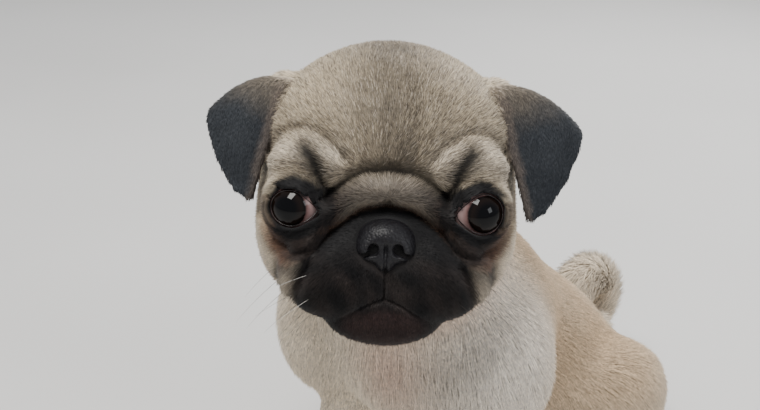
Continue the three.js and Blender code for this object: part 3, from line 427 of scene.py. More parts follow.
# Meshes the zero level of a field inside a box: one vertex to each grid cell that the surface crosses.
def surfaceNets(field, low, high, cell, step=4):
    low = np.array(low, float)
    counts = np.ceil((np.array(high) - low) / cell / step).astype(int) * step
    blocks = counts // step
    corner = np.stack(np.meshgrid(*[np.arange(n) for n in blocks], indexing="ij"), -1).reshape(-1, 3) * step
    coarse = field(low + (corner + (step - 1) / 2) * cell)
    values = coarse.reshape(blocks).repeat(step, 0).repeat(step, 1).repeat(step, 2)
    near = corner[np.abs(coarse) < step * cell * 1.6]
    inner = np.stack(np.meshgrid(*[np.arange(step)] * 3, indexing="ij"), -1).reshape(-1, 3)
    cells = (near[:, None, :] + inner[None, :, :]).reshape(-1, 3)
    values[tuple(cells.T)] = field(low + cells * cell)
    inside = values < 0
    shape = np.array(values.shape) - 1
    count = np.zeros(shape, int)
    for a in np.ndindex(2, 2, 2):
        count += inside[tuple(slice(k, k + n) for k, n in zip(a, shape))]
    active = np.argwhere((count > 0) & (count < 8))
    offsets = np.array(list(np.ndindex(2, 2, 2)))
    v = np.stack([values[tuple((active + o).T)] for o in offsets], 1)
    total, hits = np.zeros((len(active), 3)), np.zeros(len(active))
    for i, a in enumerate(offsets):
        for j, b in enumerate(offsets):
            if j > i and np.abs(a - b).sum() == 1:
                cross = (v[:, i] < 0) != (v[:, j] < 0)
                t = np.where(cross, v[:, i] / np.where(cross, v[:, i] - v[:, j], 1), 0)
                total += np.where(cross[:, None], a + t[:, None] * (b - a), 0)
                hits += cross
    vertices = low + (active + total / hits[:, None]) * cell
    number = np.full(shape, -1)
    number[tuple(active.T)] = np.arange(len(active))
    quads = []
    for axis in range(3):
        b, c = np.eye(3, dtype=int)[(axis + 1) % 3], np.eye(3, dtype=int)[(axis + 2) % 3]
        one = np.eye(3, dtype=int)[axis]
        first = inside[tuple(slice(0, n - k) for n, k in zip(values.shape, one))]
        second = inside[tuple(slice(k, n) for n, k in zip(values.shape, one))]
        where = np.argwhere(first != second)
        solid = first[tuple(where.T)]
        ring = [number[tuple((where - o).T)] for o in (b + c, c, 0 * b, b)]
        quad = np.stack(ring, 1)
        quad[~solid] = quad[~solid][:, ::-1]
        quads.append(quad)
    return vertices, np.concatenate(quads)


def gradientOf(field, p, d, reach=0.06):
    return np.stack([(field(p + reach * axis) - d) / reach for axis in np.eye(3)], 1)


# Draws points onto the field's surface, and returns them with the surface's normals.
def settle(field, p, rounds=2, most=0.8):
    for _ in range(rounds):
        d = field(p)
        g = gradientOf(field, p, d)
        step = d / np.maximum((g * g).sum(1), 0.3)
        p = p - np.clip(step, -most, most)[:, None] * g
    return p, unit(gradientOf(field, p, field(p)))


def meshOf(name, vertices, faces, materials=(), smooth=True):
    mesh = bpy.data.meshes.new(name)
    faces = np.asarray(faces)
    sides = faces.shape[1]
    mesh.vertices.add(len(vertices))
    mesh.vertices.foreach_set("co", np.asarray(vertices, np.float32).ravel())
    mesh.loops.add(faces.size)
    mesh.loops.foreach_set("vertex_index", faces.astype(np.int32).ravel())
    mesh.polygons.add(len(faces))
    mesh.polygons.foreach_set("loop_start", np.arange(0, faces.size, sides, dtype=np.int32))
    mesh.update(calc_edges=True)
    if smooth:
        mesh.shade_smooth()
    for material in materials:
        mesh.materials.append(material)
    piece = bpy.data.objects.new(name, mesh)
    bpy.context.scene.collection.objects.link(piece)
    return piece


def inFrame(points):
    return (np.asarray(points) + shift) * mm


def coordinates(mesh):
    co = np.empty(len(mesh.vertices) * 3, np.float32)
    mesh.vertices.foreach_get("co", co)
    return co.reshape(-1, 3).astype(float)


def paint(mesh, colours):
    layer = mesh.color_attributes.new("coat", "FLOAT_COLOR", "POINT")
    rgba = np.ones((len(colours), 4), np.float32)
    rgba[:, :3] = colours
    layer.data.foreach_set("color", rgba.ravel())


# The skin: one surface over the whole puppy, finer on the face and finest round the eyes, nose and mouth.
print("skin")
vertices, quads = surfaceNets(puppyField, skin["low"], skin["high"], skin["cell"])
vertices, _ = settle(puppyField, vertices, 1)
ear["swell"] = 0


def toNearEye(h):
    folded = h * np.where(h[:, :1] < 0, (-1, 1, 1), 1)
    return np.linalg.norm(folded - (eye["spacing"] / 2, 0, 0), axis=1)


def refine(mesh, chosen):
    work = bmesh.new()
    work.from_mesh(mesh)
    work.faces.ensure_lookup_table()
    faces = [work.faces[i] for i in np.flatnonzero(chosen)]
    edges = list({e for f in faces for e in f.edges})
    bmesh.ops.subdivide_edges(work, edges=edges, cuts=1, use_grid_fill=True)
    work.to_mesh(mesh)
    work.free()


def faceMiddles(mesh):
    co = np.empty(len(mesh.polygons) * 3, np.float32)
    mesh.polygons.foreach_get("center", co)
    return co.reshape(-1, 3).astype(float)


skinPiece = meshOf("skin", vertices, quads)
skinMesh = skinPiece.data
for level in range(2):
    h = toHead(faceMiddles(skinMesh))
    x = np.abs(h[:, 0])
    if level == 0:
        chosen = (h[:, 1] < 12) & (x < 42) & (h[:, 2] > -45) & (h[:, 2] < 30)
    else:
        muzzle = (x < 24) & (h[:, 2] < 14) & (h[:, 2] > -41) & (h[:, 1] < 4)
        chosen = ((toNearEye(h) < skin["eyeReach"]) & (h[:, 1] < 6)) | muzzle
    refine(skinMesh, chosen)
co = coordinates(skinMesh)
co, skinNormal = settle(puppyField, co, 2)
print("skin has", len(co), "points and", len(skinMesh.polygons), "faces")

# Colours of the coat, linear.
colour = {
    "fawn": (0.67, 0.51, 0.34), "tan": (0.59, 0.42, 0.255), "cream": (0.84, 0.73, 0.57),
    "white": (0.95, 0.90, 0.82), "pink": (0.74, 0.50, 0.40), "forehead": (0.62, 0.52, 0.37),
    "crownGrey": (0.082, 0.069, 0.054), "brow": (0.68, 0.59, 0.46), "roll": (0.22, 0.19, 0.155),
    "rollSide": (0.06, 0.050, 0.043), "rust": (0.13, 0.075, 0.05), "mask": (0.008, 0.0075, 0.008),
    "pads": (0.032, 0.025, 0.023), "lip": (0.045, 0.024, 0.022), "ear": (0.038, 0.043, 0.050),
    "earTop": (0.16, 0.135, 0.105), "earRim": (0.15, 0.12, 0.10), "lidRim": (0.012, 0.009, 0.009),
}
maskTop = np.array([(0, 0.6), (8, -1), (15, -5.8), (20.5, -11), (26, -15), (34, -17), (40, -18)])
# How far the dark of a crease reaches, and how dark it is.
darkStrokes = {"innerBrow": (4.0, 0.97), "creaseOverRoll": (2.0, 0.7), "browCrease": (1.3, 0.4)}


# Broad soft variation, from a few crossing waves.
def ripple(p, size, seed):
    draw = np.random.default_rng(seed)
    total = np.zeros(len(p))
    for _ in range(5):
        way = unit(draw.normal(size=(1, 3)))[0] / size * draw.uniform(0.6, 1.5)
        total += np.sin(p @ way * 2 * math.pi + draw.uniform(0, 6.3))
    return total / 5


def earShares(h):
    best, along, width = np.full(len(h), 1e3), np.zeros(len(h)), np.zeros(len(h))
    lie = np.zeros((len(h), 3))
    for sheet in earSheets:
        d, index = earDistance(h, sheet)
        closer = d < best
        best = np.where(closer, d, best)
        along = np.where(closer, sheet["share"][index], along)
        width = np.where(closer, sheet["width"][index], width)
        lie = np.where(closer[:, None], sheet["along"][index], lie)
    return best, along, width, lie


def headnessOf(h):
    skull = 1 - smoothStep(47, 58, np.linalg.norm((h - (0, 26, 2)) * (1, 0.95, 1), axis=1))
    return np.maximum(skull, 1 - smoothStep(30, 36, np.linalg.norm(h - (0, 4, -20), axis=1)))


def coatColour(p):
    h = toHead(p)
    x, z = np.abs(h[:, 0]), h[:, 2]
    # trunk and legs
    c = mix(colour["fawn"], colour["tan"], 0.5 + 0.5 * ripple(p * (1, 0.5, 1), 26, 3))
    front = 1 - smoothStep(-34, 4, p[:, 1])
    under = 1 - smoothStep(24, 62, p[:, 2])
    c = mix(c, colour["cream"], np.maximum(front, 0.8 * under))
    c = mix(c, colour["white"], 0.8 * np.exp(-(((p - (34, -30, 90)) / (26, 26, 36)) ** 2).sum(1)))
    c = mix(c, colour["pink"], 0.6 * np.exp(-(((p - (8, -57, 94)) / (14, 18, 22)) ** 2).sum(1)))
    c = mix(c, colour["cream"], smoothStep(70, 86, p[:, 1]) * smoothStep(30, 44, p[:, 2]) * 0.85)
    # head
    inHead = headnessOf(h)
    face = 1 - smoothStep(14, 34, h[:, 1])
    s = mix(colour["forehead"], colour["fawn"], smoothStep(26, 56, h[:, 1]))
    wide = 19 + 2 * np.exp(-((z - 16) / 8) ** 2) + 2 * ripple(h * (1, 1, 0.4), 14, 21)
    grey = np.exp(-(x / wide) ** 2) * smoothStep(8, 13, z) * (1 - smoothStep(40, 60, h[:, 1]))
    s = mix(s, colour["crownGrey"], (0.78 + 0.12 * ripple(h * (1, 1, 0.35), 9, 5)) * grey)
    cheek = smoothStep(-6, -16, z) * smoothStep(20, 31, x)
    s = mix(s, colour["cream"], np.maximum(cheek * 0.8, smoothStep(-24, -38, z) * 0.9))
    s = mix(s, colour["pink"], 0.5 * smoothStep(-14, -30, z) * smoothStep(4, 16, h[:, 1]))
    brow, _ = strokeNear(strokeLines["brow"], x, z)
    s = mix(s, colour["brow"], 0.95 * np.exp(-(brow / 5) ** 2) * face)
    roll, _ = strokeNear(strokeLines["noseRoll"], x, z)
    rollTone = mix(colour["roll"], colour["rollSide"], smoothStep(5, 16, x + 3 * ripple(h, 6, 22)))
    s = mix(s, rollTone, np.exp(-(roll / 5) ** 4) * face)
    top = np.interp(x, maskTop[:, 0], maskTop[:, 1]) + 0.5 * ripple(h, 5, 6)
    overMask = 0.9 * (1 - smoothStep(0.3, 4.2, z - top)) * (1 - smoothStep(14, 24, x)) * face
    s = mix(s, colour["rust"], overMask)
    under = 1 - smoothStep(0.6, 1.2, np.hypot((x - 26) / 14, (z + 10) / 10))
    toEye = np.hypot(x - eye["spacing"] / 2, z * 1.02)
    s = mix(s, colour["rust"], under * face)
    s = mix(s, colour["rust"], 0.6 * (1 - smoothStep(11.5, 16, toEye)) * (z < 4) * face)
    edge = np.hypot((h[:, 0] - 0.6) / 33.4, (z + 18.5) / 26) + 0.04 * ripple(h, 7, 9)
    edge += np.maximum(h[:, 1] - 6, 0) * 0.012
    muzzle = smoothStep(-0.8, 1.0, top - z) * (1 - smoothStep(0.92, 1.10, edge))
    ring = toEye + 0.9 * ripple(h, 5, 23) + 1.2 * smoothStep(2, 8, x - eye["spacing"] / 2)
    dark = np.maximum(muzzle, 1 - smoothStep(8.8, 12.6, ring))
    dark = np.maximum(dark, 0.9 * (1 - smoothStep(0.5, 1.1, np.hypot((x - 24) / 11, (z + 10) / 8))))
    dark = np.maximum(dark, 0.95 * (1 - smoothStep(0.7, 1.15, np.hypot((x - 19.5) / 5.6, (z - 1.5) / 7.5))))
    for name, (reach, amount) in darkStrokes.items():
        near, _ = strokeNear(strokeLines[name], x, z)
        dark = np.maximum(dark, amount * np.exp(-(near / reach) ** 2))
    blotch = np.clip(0.5 + 0.9 * ripple(h, 7, 10), 0, 1) * smoothStep(-8, -20, z)
    maskTone = mix(colour["mask"], colour["pads"], muzzle * blotch)
    s = mix(s, maskTone, dark * (1 - smoothStep(16, 30, h[:, 1])))
    lip = np.exp(-((z + 31.5 + x * 0.45) / 2.8) ** 2) * (1 - smoothStep(8, 15, x)) * (h[:, 1] < 4)
    chin = (1 - smoothStep(0.7, 1.1, np.hypot(x / 14, (z + 36) / 7))) * (h[:, 1] < 8)
    s = mix(s, colour["lip"], np.maximum(0.35 * lip, 0.6 * chin))
    s = mix(s, colour["lidRim"], 1 - smoothStep(8.75, 9.4, toNearEye(h)))
    c = mix(c, s, inHead)
    # ears
    d, along, width, _ = earShares(h)
    e = mix(colour["earTop"], colour["ear"], smoothStep(0.12, 0.5, along + 0.06 * ripple(h, 12, 7)))
    e = mix(e, colour["earRim"], 0.6 * (1 - smoothStep(0.02, 0.07, width)))
    return mix(c, e, (1 - smoothStep(0.3, 1.6, d)) * smoothStep(0.0, 0.2, along))


# How the coat lies at each place: away from the nose on the head, back and down on the body.
def coatLie(p, normal):
    h = toHead(p)
    away = (h - (0, -10, 2)) * (1.1, 1, 1)
    headLie = unit(away) @ headTurn.T
    body = np.tile((0.0, 0.8, -0.6), (len(p), 1))
    body = mix(body, np.array((0, 0.05, -1.0)), 1 - smoothStep(-34, 2, p[:, 1]))
    haunch = (1 - smoothStep(46, 84, p[:, 2])) * smoothStep(-10, 20, p[:, 1])
    foot = (1 - smoothStep(12, 22, p[:, 2])) * (p[:, 1] < 34)
    body = mix(body, np.array((0, 0.25, -0.95)), haunch)
    body = mix(body, np.array((0, -1.0, -0.35)), foot)
    body[:, 0] += 0.25 * np.sign(p[:, 0]) * smoothStep(4, 26, np.abs(p[:, 0]))
    nearest = nearestOf(p, tailPoints)
    step = np.gradient(tailPoints, axis=0)
    onTail = smoothStep(6, 2, tailDistance(p)) * smoothStep(74, 84, p[:, 1])
    body = mix(body, unit(step[nearest]), onTail)
    lie = mix(body, headLie, headnessOf(h))
    d, _, _, earLie = earShares(h)
    lie = mix(lie, earLie @ headTurn.T, 1 - smoothStep(0.5, 2.5, d))
    swirl = 0.22 * ripple(p, 17, 11) + 0.16 * ripple(p, 6, 12)
    lie = unit(lie - np.einsum("ij,ij->i", lie, normal)[:, None] * normal)
    return unit(lie * np.cos(swirl)[:, None] + np.cross(normal, lie) * np.sin(swirl)[:, None])


# How long, wide and steep each tuft is, how thickly they stand, and whether any grows there.
coat = {"tufts": 300000, "seed": 4, "bodyLength": 6.8, "headLength": 4.4, "faceLength": 2.6,
        "muzzleLength": 1.6, "pawLength": 2.6, "earLength": 1.9, "bodyWidth": 0.46, "faceWidth": 0.25,
        "bodySteep": 10, "faceSteep": 15, "earSteep": 9, "fringeSteep": 24, "tailLength": 8, "tailSteep": 22,
        "faceThickness": 2.6, "sunk": 0.3, "lengthSpread": (0.7, 1.25), "widthSpread": (0.75, 1.3),
        "steepSpread": (0.55, 1.35), "fringeShare": 0.08, "turnSpread": 0.16, "shadeSpread": 0.13,
        "pepper": (0.07, 0.055, 0.045), "pepperShare": 0.26, "pepperAmount": 0.7,
        "salt": (0.62, 0.55, 0.46), "saltShare": 0.16, "saltAmount": 0.45,
        "ridgeAt": 0.38, "ridgeRise": 0.10, "rounding": 0.35, "rootShade": 0.75, "tipShade": 1.12,
        "uvPatch": ((-0.0013, -0.001), (0, 0.0016), (0.0013, -0.001), (0, 0.0002))}


def coatPlan(p):
    h = toHead(p)
    inHead = headnessOf(h)
    face = inHead * (1 - smoothStep(4, 26, h[:, 1]))
    muzzle = inHead * (1 - smoothStep(0.8, 1.25, np.linalg.norm((h - (0, -2, -20)) / (25, 18, 21), axis=1)))
    pawness = 1 - smoothStep(14, 40, p[:, 2])
    length = mix(coat["bodyLength"], coat["pawLength"], pawness)
    length = mix(length, coat["headLength"], inHead)
    length = mix(length, coat["faceLength"], face)
    length = mix(length, coat["muzzleLength"], muzzle)
    d, _, _, _ = earShares(h)
    onEar = 1 - smoothStep(0.4, 2.0, d)
    length = mix(length, coat["earLength"], onEar)
    onTail = smoothStep(5, 2, tailDistance(p)) * smoothStep(74, 84, p[:, 1])
    length = mix(length, coat["tailLength"], onTail)
    width = mix(coat["bodyWidth"], coat["faceWidth"], np.maximum(np.maximum(inHead * 0.5, face), onEar))
    steep = mix(mix(coat["bodySteep"], coat["faceSteep"], face), coat["earSteep"], onEar)
    steep = mix(steep, coat["tailSteep"], onTail)
    density = 1 + (coat["faceThickness"] - 1) * np.maximum(np.maximum(0.45 * inHead, face), onEar * 0.8)
    hollow = eyeHollow(h)
    bare = (hollow < 0.55) & (h[:, 1] < 8)
    leather = np.hypot(h[:, 0] / 9.2, (h[:, 2] + 8.8) / 8.4)
    bare |= (leather < 1) & (h[:, 1] < -4)
    bare |= p[:, 2] < skin["floor"] + 0.35
    mouthNear, _ = strokeNear(strokeLines["mouth"], np.abs(h[:, 0]), h[:, 2])
    density = np.where((mouthNear < 0.7) & (h[:, 1] < 0), density * 0.3, density)
    return {"length": length, "width": width, "steep": steep, "density": np.where(bare, 0, density)}


print("coat")
skinColour = coatColour(co)
skinLie = coatLie(co, skinNormal)
plan = coatPlan(co)


# Materials
def material(name, roughness, specular=0.3, sheen=0.0, coatWeight=0.0, coatRoughness=0.1):
    made = bpy.data.materials.new(name)
    made.use_nodes = True
    shader = made.node_tree.nodes["Principled BSDF"]
    shader.inputs["Roughness"].default_value = roughness
    shader.inputs["Specular IOR Level"].default_value = specular
    shader.inputs["Sheen Weight"].default_value = sheen
    shader.inputs["Coat Weight"].default_value = coatWeight
    shader.inputs["Coat Roughness"].default_value = coatRoughness
    return made, made.node_tree.nodes, made.node_tree.links, shader


def addNode(nodes, kind, **values):
    node = nodes.new(kind)
    for key, value in values.items():
        if key in node.inputs:
            node.inputs[key].default_value = value
        else:
            setattr(node, key, value)
    return node


def ramp(nodes, stops):
    node = nodes.new("ShaderNodeValToRGB")
    line = node.color_ramp.elements
    while len(line) < len(stops):
        line.new(0.5)
    for element, (at, shade) in zip(line, stops):
        element.position = at
        element.color = (*shade, 1)
    return node


def noiseOn(nodes, links, scale, detail=3):
    place = nodes.new("ShaderNodeTexCoord")
    noise = addNode(nodes, "ShaderNodeTexNoise", Scale=scale, Detail=detail)
    links.new(place.outputs["Object"], noise.inputs["Vector"])
    return noise


def furMaterial(name, roughness, sheen, bumpScale=0.0):
    made, nodes, links, shader = material(name, roughness, 0.16, sheen)
    paintNode = addNode(nodes, "ShaderNodeAttribute", attribute_name="coat")
    noise = noiseOn(nodes, links, 900)
    vary = ramp(nodes, [(0.3, (0.72, 0.72, 0.74)), (0.7, (1.12, 1.1, 1.08))])
    blend = addNode(nodes, "ShaderNodeMix", data_type="RGBA", blend_type="MULTIPLY")
    blend.inputs[0].default_value = 1
    links.new(noise.outputs["Fac"], vary.inputs["Fac"])
    links.new(paintNode.outputs["Color"], blend.inputs[6])
    links.new(vary.outputs["Color"], blend.inputs[7])
    links.new(blend.outputs[2], shader.inputs["Base Color"])
    if bumpScale:
        bump = addNode(nodes, "ShaderNodeBump", Strength=0.55, Distance=0.0004)
        fine = noiseOn(nodes, links, bumpScale, 4)
        links.new(fine.outputs["Fac"], bump.inputs["Height"])
        links.new(bump.outputs["Normal"], shader.inputs["Normal"])
    return made


# A plain speckled colour, from noise through a ramp.
def speckle(nodes, links, shader, scale, detail, low, high, start=0.3):
    noise = noiseOn(nodes, links, scale, detail)
    tone = ramp(nodes, [(start, low), (0.7, high)])
    links.new(noise.outputs["Fac"], tone.inputs["Fac"])
    links.new(tone.outputs["Color"], shader.inputs["Base Color"])


skinMaterial = furMaterial("coat under the tufts", 0.78, 0.06, 1400)
tuftMaterial = furMaterial("coat tufts", 0.62, 0.05)

skinMesh.vertices.foreach_set("co", inFrame(co).astype(np.float32).ravel())
skinMesh.materials.append(skinMaterial)
paint(skinMesh, skinColour * skin["underShade"])
skinMesh.update()
skinMesh.shade_smooth()
fleshNodes = ["head", "jaw", "neck", "chest", "hindquarters", "ear_left", "ear_right", "foreleg_left",
              "foreleg_right", "forepaw_left", "forepaw_right", "thigh_left", "thigh_right",
              "hindfoot_left", "hindfoot_right", "tail_root", "tail_curl"]
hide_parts(*fleshNodes)
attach(skinPiece, "root")


# The skin is unrolled once, so that each tuft knows its place on it.
def unroll(piece):
    bpy.ops.object.select_all(action="DESELECT")
    piece.select_set(True)
    bpy.context.view_layer.objects.active = piece
    piece.data.uv_layers.new(name="OFBake")
    bpy.ops.object.mode_set(mode="EDIT")
    bpy.ops.mesh.select_all(action="SELECT")
    bpy.ops.uv.smart_project(angle_limit=math.radians(66), island_margin=0.001)
    bpy.ops.object.mode_set(mode="OBJECT")


print("unrolling the skin")
unroll(skinPiece)
skinMesh.calc_loop_triangles()
triangleCount = len(skinMesh.loop_triangles)
corners = np.empty(triangleCount * 3, np.int32)
skinMesh.loop_triangles.foreach_get("vertices", corners)
corners = corners.reshape(-1, 3)
loops = np.empty(triangleCount * 3, np.int32)
skinMesh.loop_triangles.foreach_get("loops", loops)
uvAll = np.empty(len(skinMesh.loops) * 2, np.float32)
skinMesh.uv_layers["OFBake"].data.foreach_get("uv", uvAll)
cornerUv = uvAll.reshape(-1, 2)[loops].reshape(-1, 3, 2)

# Roots, spread by area and by how thickly the coat stands.
draw = np.random.default_rng(coat["seed"])
count = coat["tufts"] // 1
a, b, c = (co[corners[:, k]] for k in range(3))
area = np.linalg.norm(np.cross(b - a, c - a), axis=1) / 2
weight = area * plan["density"][corners].mean(1) * (plan["density"][corners].min(1) > 0)
chosen = draw.choice(len(corners), size=count, p=weight / weight.sum())
u, v = draw.random(count), draw.random(count)
over = u + v > 1
u, v = np.where(over, 1 - u, u), np.where(over, 1 - v, v)
shares = np.stack([1 - u - v, u, v], 1)


def atRoots(values):
    values = np.asarray(values, float)
    picked = values[corners[chosen]]
    return (picked * (shares if picked.ndim == 2 else shares[..., None])).sum(1)


root = atRoots(co)
normal = unit(atRoots(skinNormal))
lie = atRoots(skinLie)
lie = unit(lie - np.einsum("ij,ij->i", lie, normal)[:, None] * normal)
rootUv = (cornerUv[chosen] * shares[..., None]).sum(1)
length = atRoots(plan["length"]) * draw.uniform(*coat["lengthSpread"], count)
width = atRoots(plan["width"]) * draw.uniform(*coat["widthSpread"], count)
steep = np.radians(atRoots(plan["steep"]) * draw.uniform(*coat["steepSpread"], count))
fringe = draw.random(count) < coat["fringeShare"]
steep = np.where(fringe & (atRoots(plan["steep"]) > 12), np.radians(coat["fringeSteep"]), steep)
turn = draw.normal(0, coat["turnSpread"], count)
side = np.cross(normal, lie)
lie, side = (lie * np.cos(turn)[:, None] + side * np.sin(turn)[:, None],
             side * np.cos(turn)[:, None] - lie * np.sin(turn)[:, None])
tint = atRoots(skinColour)
bright = tint.mean(1)
shade = np.exp(draw.normal(0, coat["shadeSpread"], count))
hRoot = toHead(root)
saltPepper = headnessOf(hRoot) * smoothStep(0.08, 0.2, bright) * (1 - smoothStep(34, 60, hRoot[:, 1]))
saltPepper *= smoothStep(4, 12, hRoot[:, 2])
pepper = (draw.random(count) < coat["pepperShare"]) * saltPepper
salt = (draw.random(count) < coat["saltShare"]) * saltPepper * (1 - pepper)
tint = mix(tint, coat["pepper"], coat["pepperAmount"] * pepper)
tint = mix(tint, coat["salt"], coat["saltAmount"] * salt)
tint = tint * shade[:, None]

# Each tuft is a thin closed blade: two corners at its root, a ridge over them and a tip.
long = length[:, None]
flat, rise = np.cos(steep)[:, None], np.sin(steep)[:, None]
base = root - normal * coat["sunk"]
leftRoot = base + side * width[:, None] / 2
rightRoot = base - side * width[:, None] / 2
ridge = root + lie * long * coat["ridgeAt"]
ridge += normal * (long * coat["ridgeAt"] * rise / flat + coat["ridgeRise"])
tip = root + lie * long * flat + normal * long * rise
blades = np.stack([rightRoot, tip, leftRoot, ridge], 1)
blades[..., 2] = np.maximum(blades[..., 2], 0.05)
bladeFaces = np.array([(0, 2, 1), (0, 1, 3), (0, 3, 2), (1, 2, 3)])
aside, ahead = coat["rounding"] * side, coat["rounding"] * lie
bladeNormals = np.stack([normal - aside, normal + ahead, normal + aside, normal], 1)
bladeNormals /= np.linalg.norm(bladeNormals, axis=2, keepdims=True)
rootTint, tipTint = tint * coat["rootShade"], tint * coat["tipShade"]
bladeColours = np.stack([rootTint, tipTint, rootTint, tint], 1)
bladeUvs = rootUv[:, None, :] + np.array(coat["uvPatch"])

inHead = headnessOf(hRoot)
earNear, _, _, _ = earShares(hRoot)
onTail = (tailDistance(root) < 3) & (root[:, 1] > 78)
region = np.full(count, "coat_trunk_left", dtype=object)
region[root[:, 0] < 0] = "coat_trunk_right"
region[root[:, 1] > 34] = "coat_rump"
region[(root[:, 1] > 34) & (root[:, 0] < 0)] = "coat_rump_right"
region[(root[:, 2] < 34) & (root[:, 1] < 34)] = "coat_feet"
region[onTail] = "coat_tail"
region[inHead > 0.5] = "coat_head"
region[(inHead > 0.5) & (hRoot[:, 1] < 16) & (hRoot[:, 2] > 0)] = "coat_brow"
region[(inHead > 0.5) & (hRoot[:, 1] < 16) & (hRoot[:, 2] <= 0)] = "coat_muzzle"
region[earNear < 1.2] = "coat_ears"
slotOf = {"coat_trunk_left": "coat_cream", "coat_trunk_right": "coat_cream", "coat_rump": "coat_fawn",
          "coat_rump_right": "coat_fawn", "coat_feet": "coat_cream", "coat_tail": "coat_cream",
          "coat_head": "coat_fawn", "coat_brow": "coat_fawn", "coat_muzzle": "coat_mask",
          "coat_ears": "coat_ear"}
for name, slotName in slotOf.items():
    mine = np.flatnonzero(region == name)
    points = inFrame(blades[mine].reshape(-1, 3))
    faces = (np.arange(len(mine))[:, None, None] * 4 + bladeFaces).reshape(-1, 3)
    piece = meshOf(name, points, faces, [tuftMaterial])
    paint(piece.data, bladeColours[mine].reshape(-1, 3))
    uv = piece.data.uv_layers.new(name="OFBake")
    uv.data.foreach_set("uv", bladeUvs[mine].reshape(-1, 2)[faces.ravel()].astype(np.float32).ravel())
    piece.data.normals_split_custom_set_from_vertices(bladeNormals[mine].reshape(-1, 3))
    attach(piece, "root")
    print(name, len(mine), "tufts")

# The nose leather: a pad with wings round the nostrils and a groove down its middle.
nose = {"cell": 0.36, "low": (-11, -20, -20), "high": (11, 0, 2),
        "nostril": {"at": (3.8, -16.6, -10.4), "size": (1.75, 4.4, 2.1)},
        "slitAt": (6.2, -15.4, -12.3), "slitSize": (3.1, 4.6, 0.8), "slitTurn": -24}
noseMasses = [
    {"at": (0, -9.2, -7.2), "size": (8.4, 6.6, 5.4), "soft": 1},
    {"pair": True, "at": (5.0, -9.7, -10.8), "size": (4.4, 6.2, 4.4), "soft": 2.5},
    {"at": (0, -9.6, -13.6), "size": (4.2, 6.2, 4.8), "soft": 2.5},
]


def noseField(h):
    d = joinMasses(np.full(len(h), 1e3), noseMasses, h)
    q = h.copy()
    q[:, 0] = np.abs(h[:, 0])
    hole = ballDistance(q, nose["nostril"])
    slit = (q - nose["slitAt"]) @ rotation("Y", -nose["slitTurn"])
    cut = ballDistance(slit, {"at": (0, 0, 0), "size": nose["slitSize"]})
    d = -smoothMin(-d, smoothMin(hole, cut, 1.0), 0.9)
    groove = 0.9 * np.exp(-(h[:, 0] / 0.6) ** 2) * smoothStep(-6.5, -10.5, h[:, 2])
    return d + groove


print("nose")
vertices, quads = surfaceNets(noseField, nose["low"], nose["high"], nose["cell"])
vertices, _ = settle(noseField, vertices, 2, 0.3)
made, nodes, links, shader = material("nose leather", 0.46, 0.24)
grain = addNode(nodes, "ShaderNodeTexVoronoi", Scale=1500, feature="SMOOTH_F1")
place = nodes.new("ShaderNodeTexCoord")
links.new(place.outputs["Object"], grain.inputs["Vector"])
# Painted light and shade on the nose leather: each cobble's raised top is painted lighter and the grooves
# between the cobbles darker, following the bump.
cobbleLightAndGrooveShade = ramp(nodes, [(0.0, (0.012, 0.012, 0.014)), (0.8, (0.004, 0.003, 0.004))])
links.new(grain.outputs["Distance"], cobbleLightAndGrooveShade.inputs["Fac"])
links.new(cobbleLightAndGrooveShade.outputs["Color"], shader.inputs["Base Color"])
bump = addNode(nodes, "ShaderNodeBump", Strength=0.5, Distance=0.00035)
bump.invert = True
links.new(grain.outputs["Distance"], bump.inputs["Height"])
links.new(bump.outputs["Normal"], shader.inputs["Normal"])
nosePiece = meshOf("nose_leather", inFrame(fromHead(vertices)), quads, [made])
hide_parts("nose")
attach(nosePiece, "root")

# The eyes: a globe with the cornea's low dome, near-black iris and pupil, and white only at the corners.
print("eyes")


def eyeMaterial():
    made, nodes, links, shader = material("eye", 0.35, 0.0, 0, 0.35, 0.015)
    place = nodes.new("ShaderNodeTexCoord")
    parts = nodes.new("ShaderNodeSeparateXYZ")
    links.new(place.outputs["Object"], parts.inputs["Vector"])
    flatten = nodes.new("ShaderNodeCombineXYZ")
    links.new(parts.outputs["X"], flatten.inputs["X"])
    links.new(parts.outputs["Z"], flatten.inputs["Y"])
    spread = addNode(nodes, "ShaderNodeVectorMath", operation="LENGTH")
    links.new(flatten.outputs["Vector"], spread.inputs[0])
    streaks = addNode(nodes, "ShaderNodeTexNoise", Scale=1100, Detail=3)
    links.new(place.outputs["Object"], streaks.inputs["Vector"])
    share = addNode(nodes, "ShaderNodeMath", operation="DIVIDE")
    share.inputs[1].default_value = eye["radius"] * mm
    links.new(spread.outputs["Value"], share.inputs[0])
    jitter = addNode(nodes, "ShaderNodeMath", operation="MULTIPLY_ADD")
    jitter.inputs[1].default_value = 0.05
    links.new(streaks.outputs["Fac"], jitter.inputs[0])
    links.new(share.outputs[0], jitter.inputs[2])
    pupil, iris = eye["pupil"] / eye["radius"], eye["iris"] / eye["radius"]
    rings = ramp(nodes, [(pupil, (0.0005, 0.0005, 0.001)), (pupil + 0.09, (0.0035, 0.002, 0.002)),
                         (iris - 0.10, (0.007, 0.004, 0.003)), (iris, (0.002, 0.0015, 0.0015)),
                         (iris + 0.06, (0.15, 0.085, 0.08)), (min(iris + 0.18, 1.0), (0.32, 0.22, 0.21))])
    links.new(jitter.outputs[0], rings.inputs["Fac"])
    links.new(rings.outputs["Color"], shader.inputs["Base Color"])
    return made


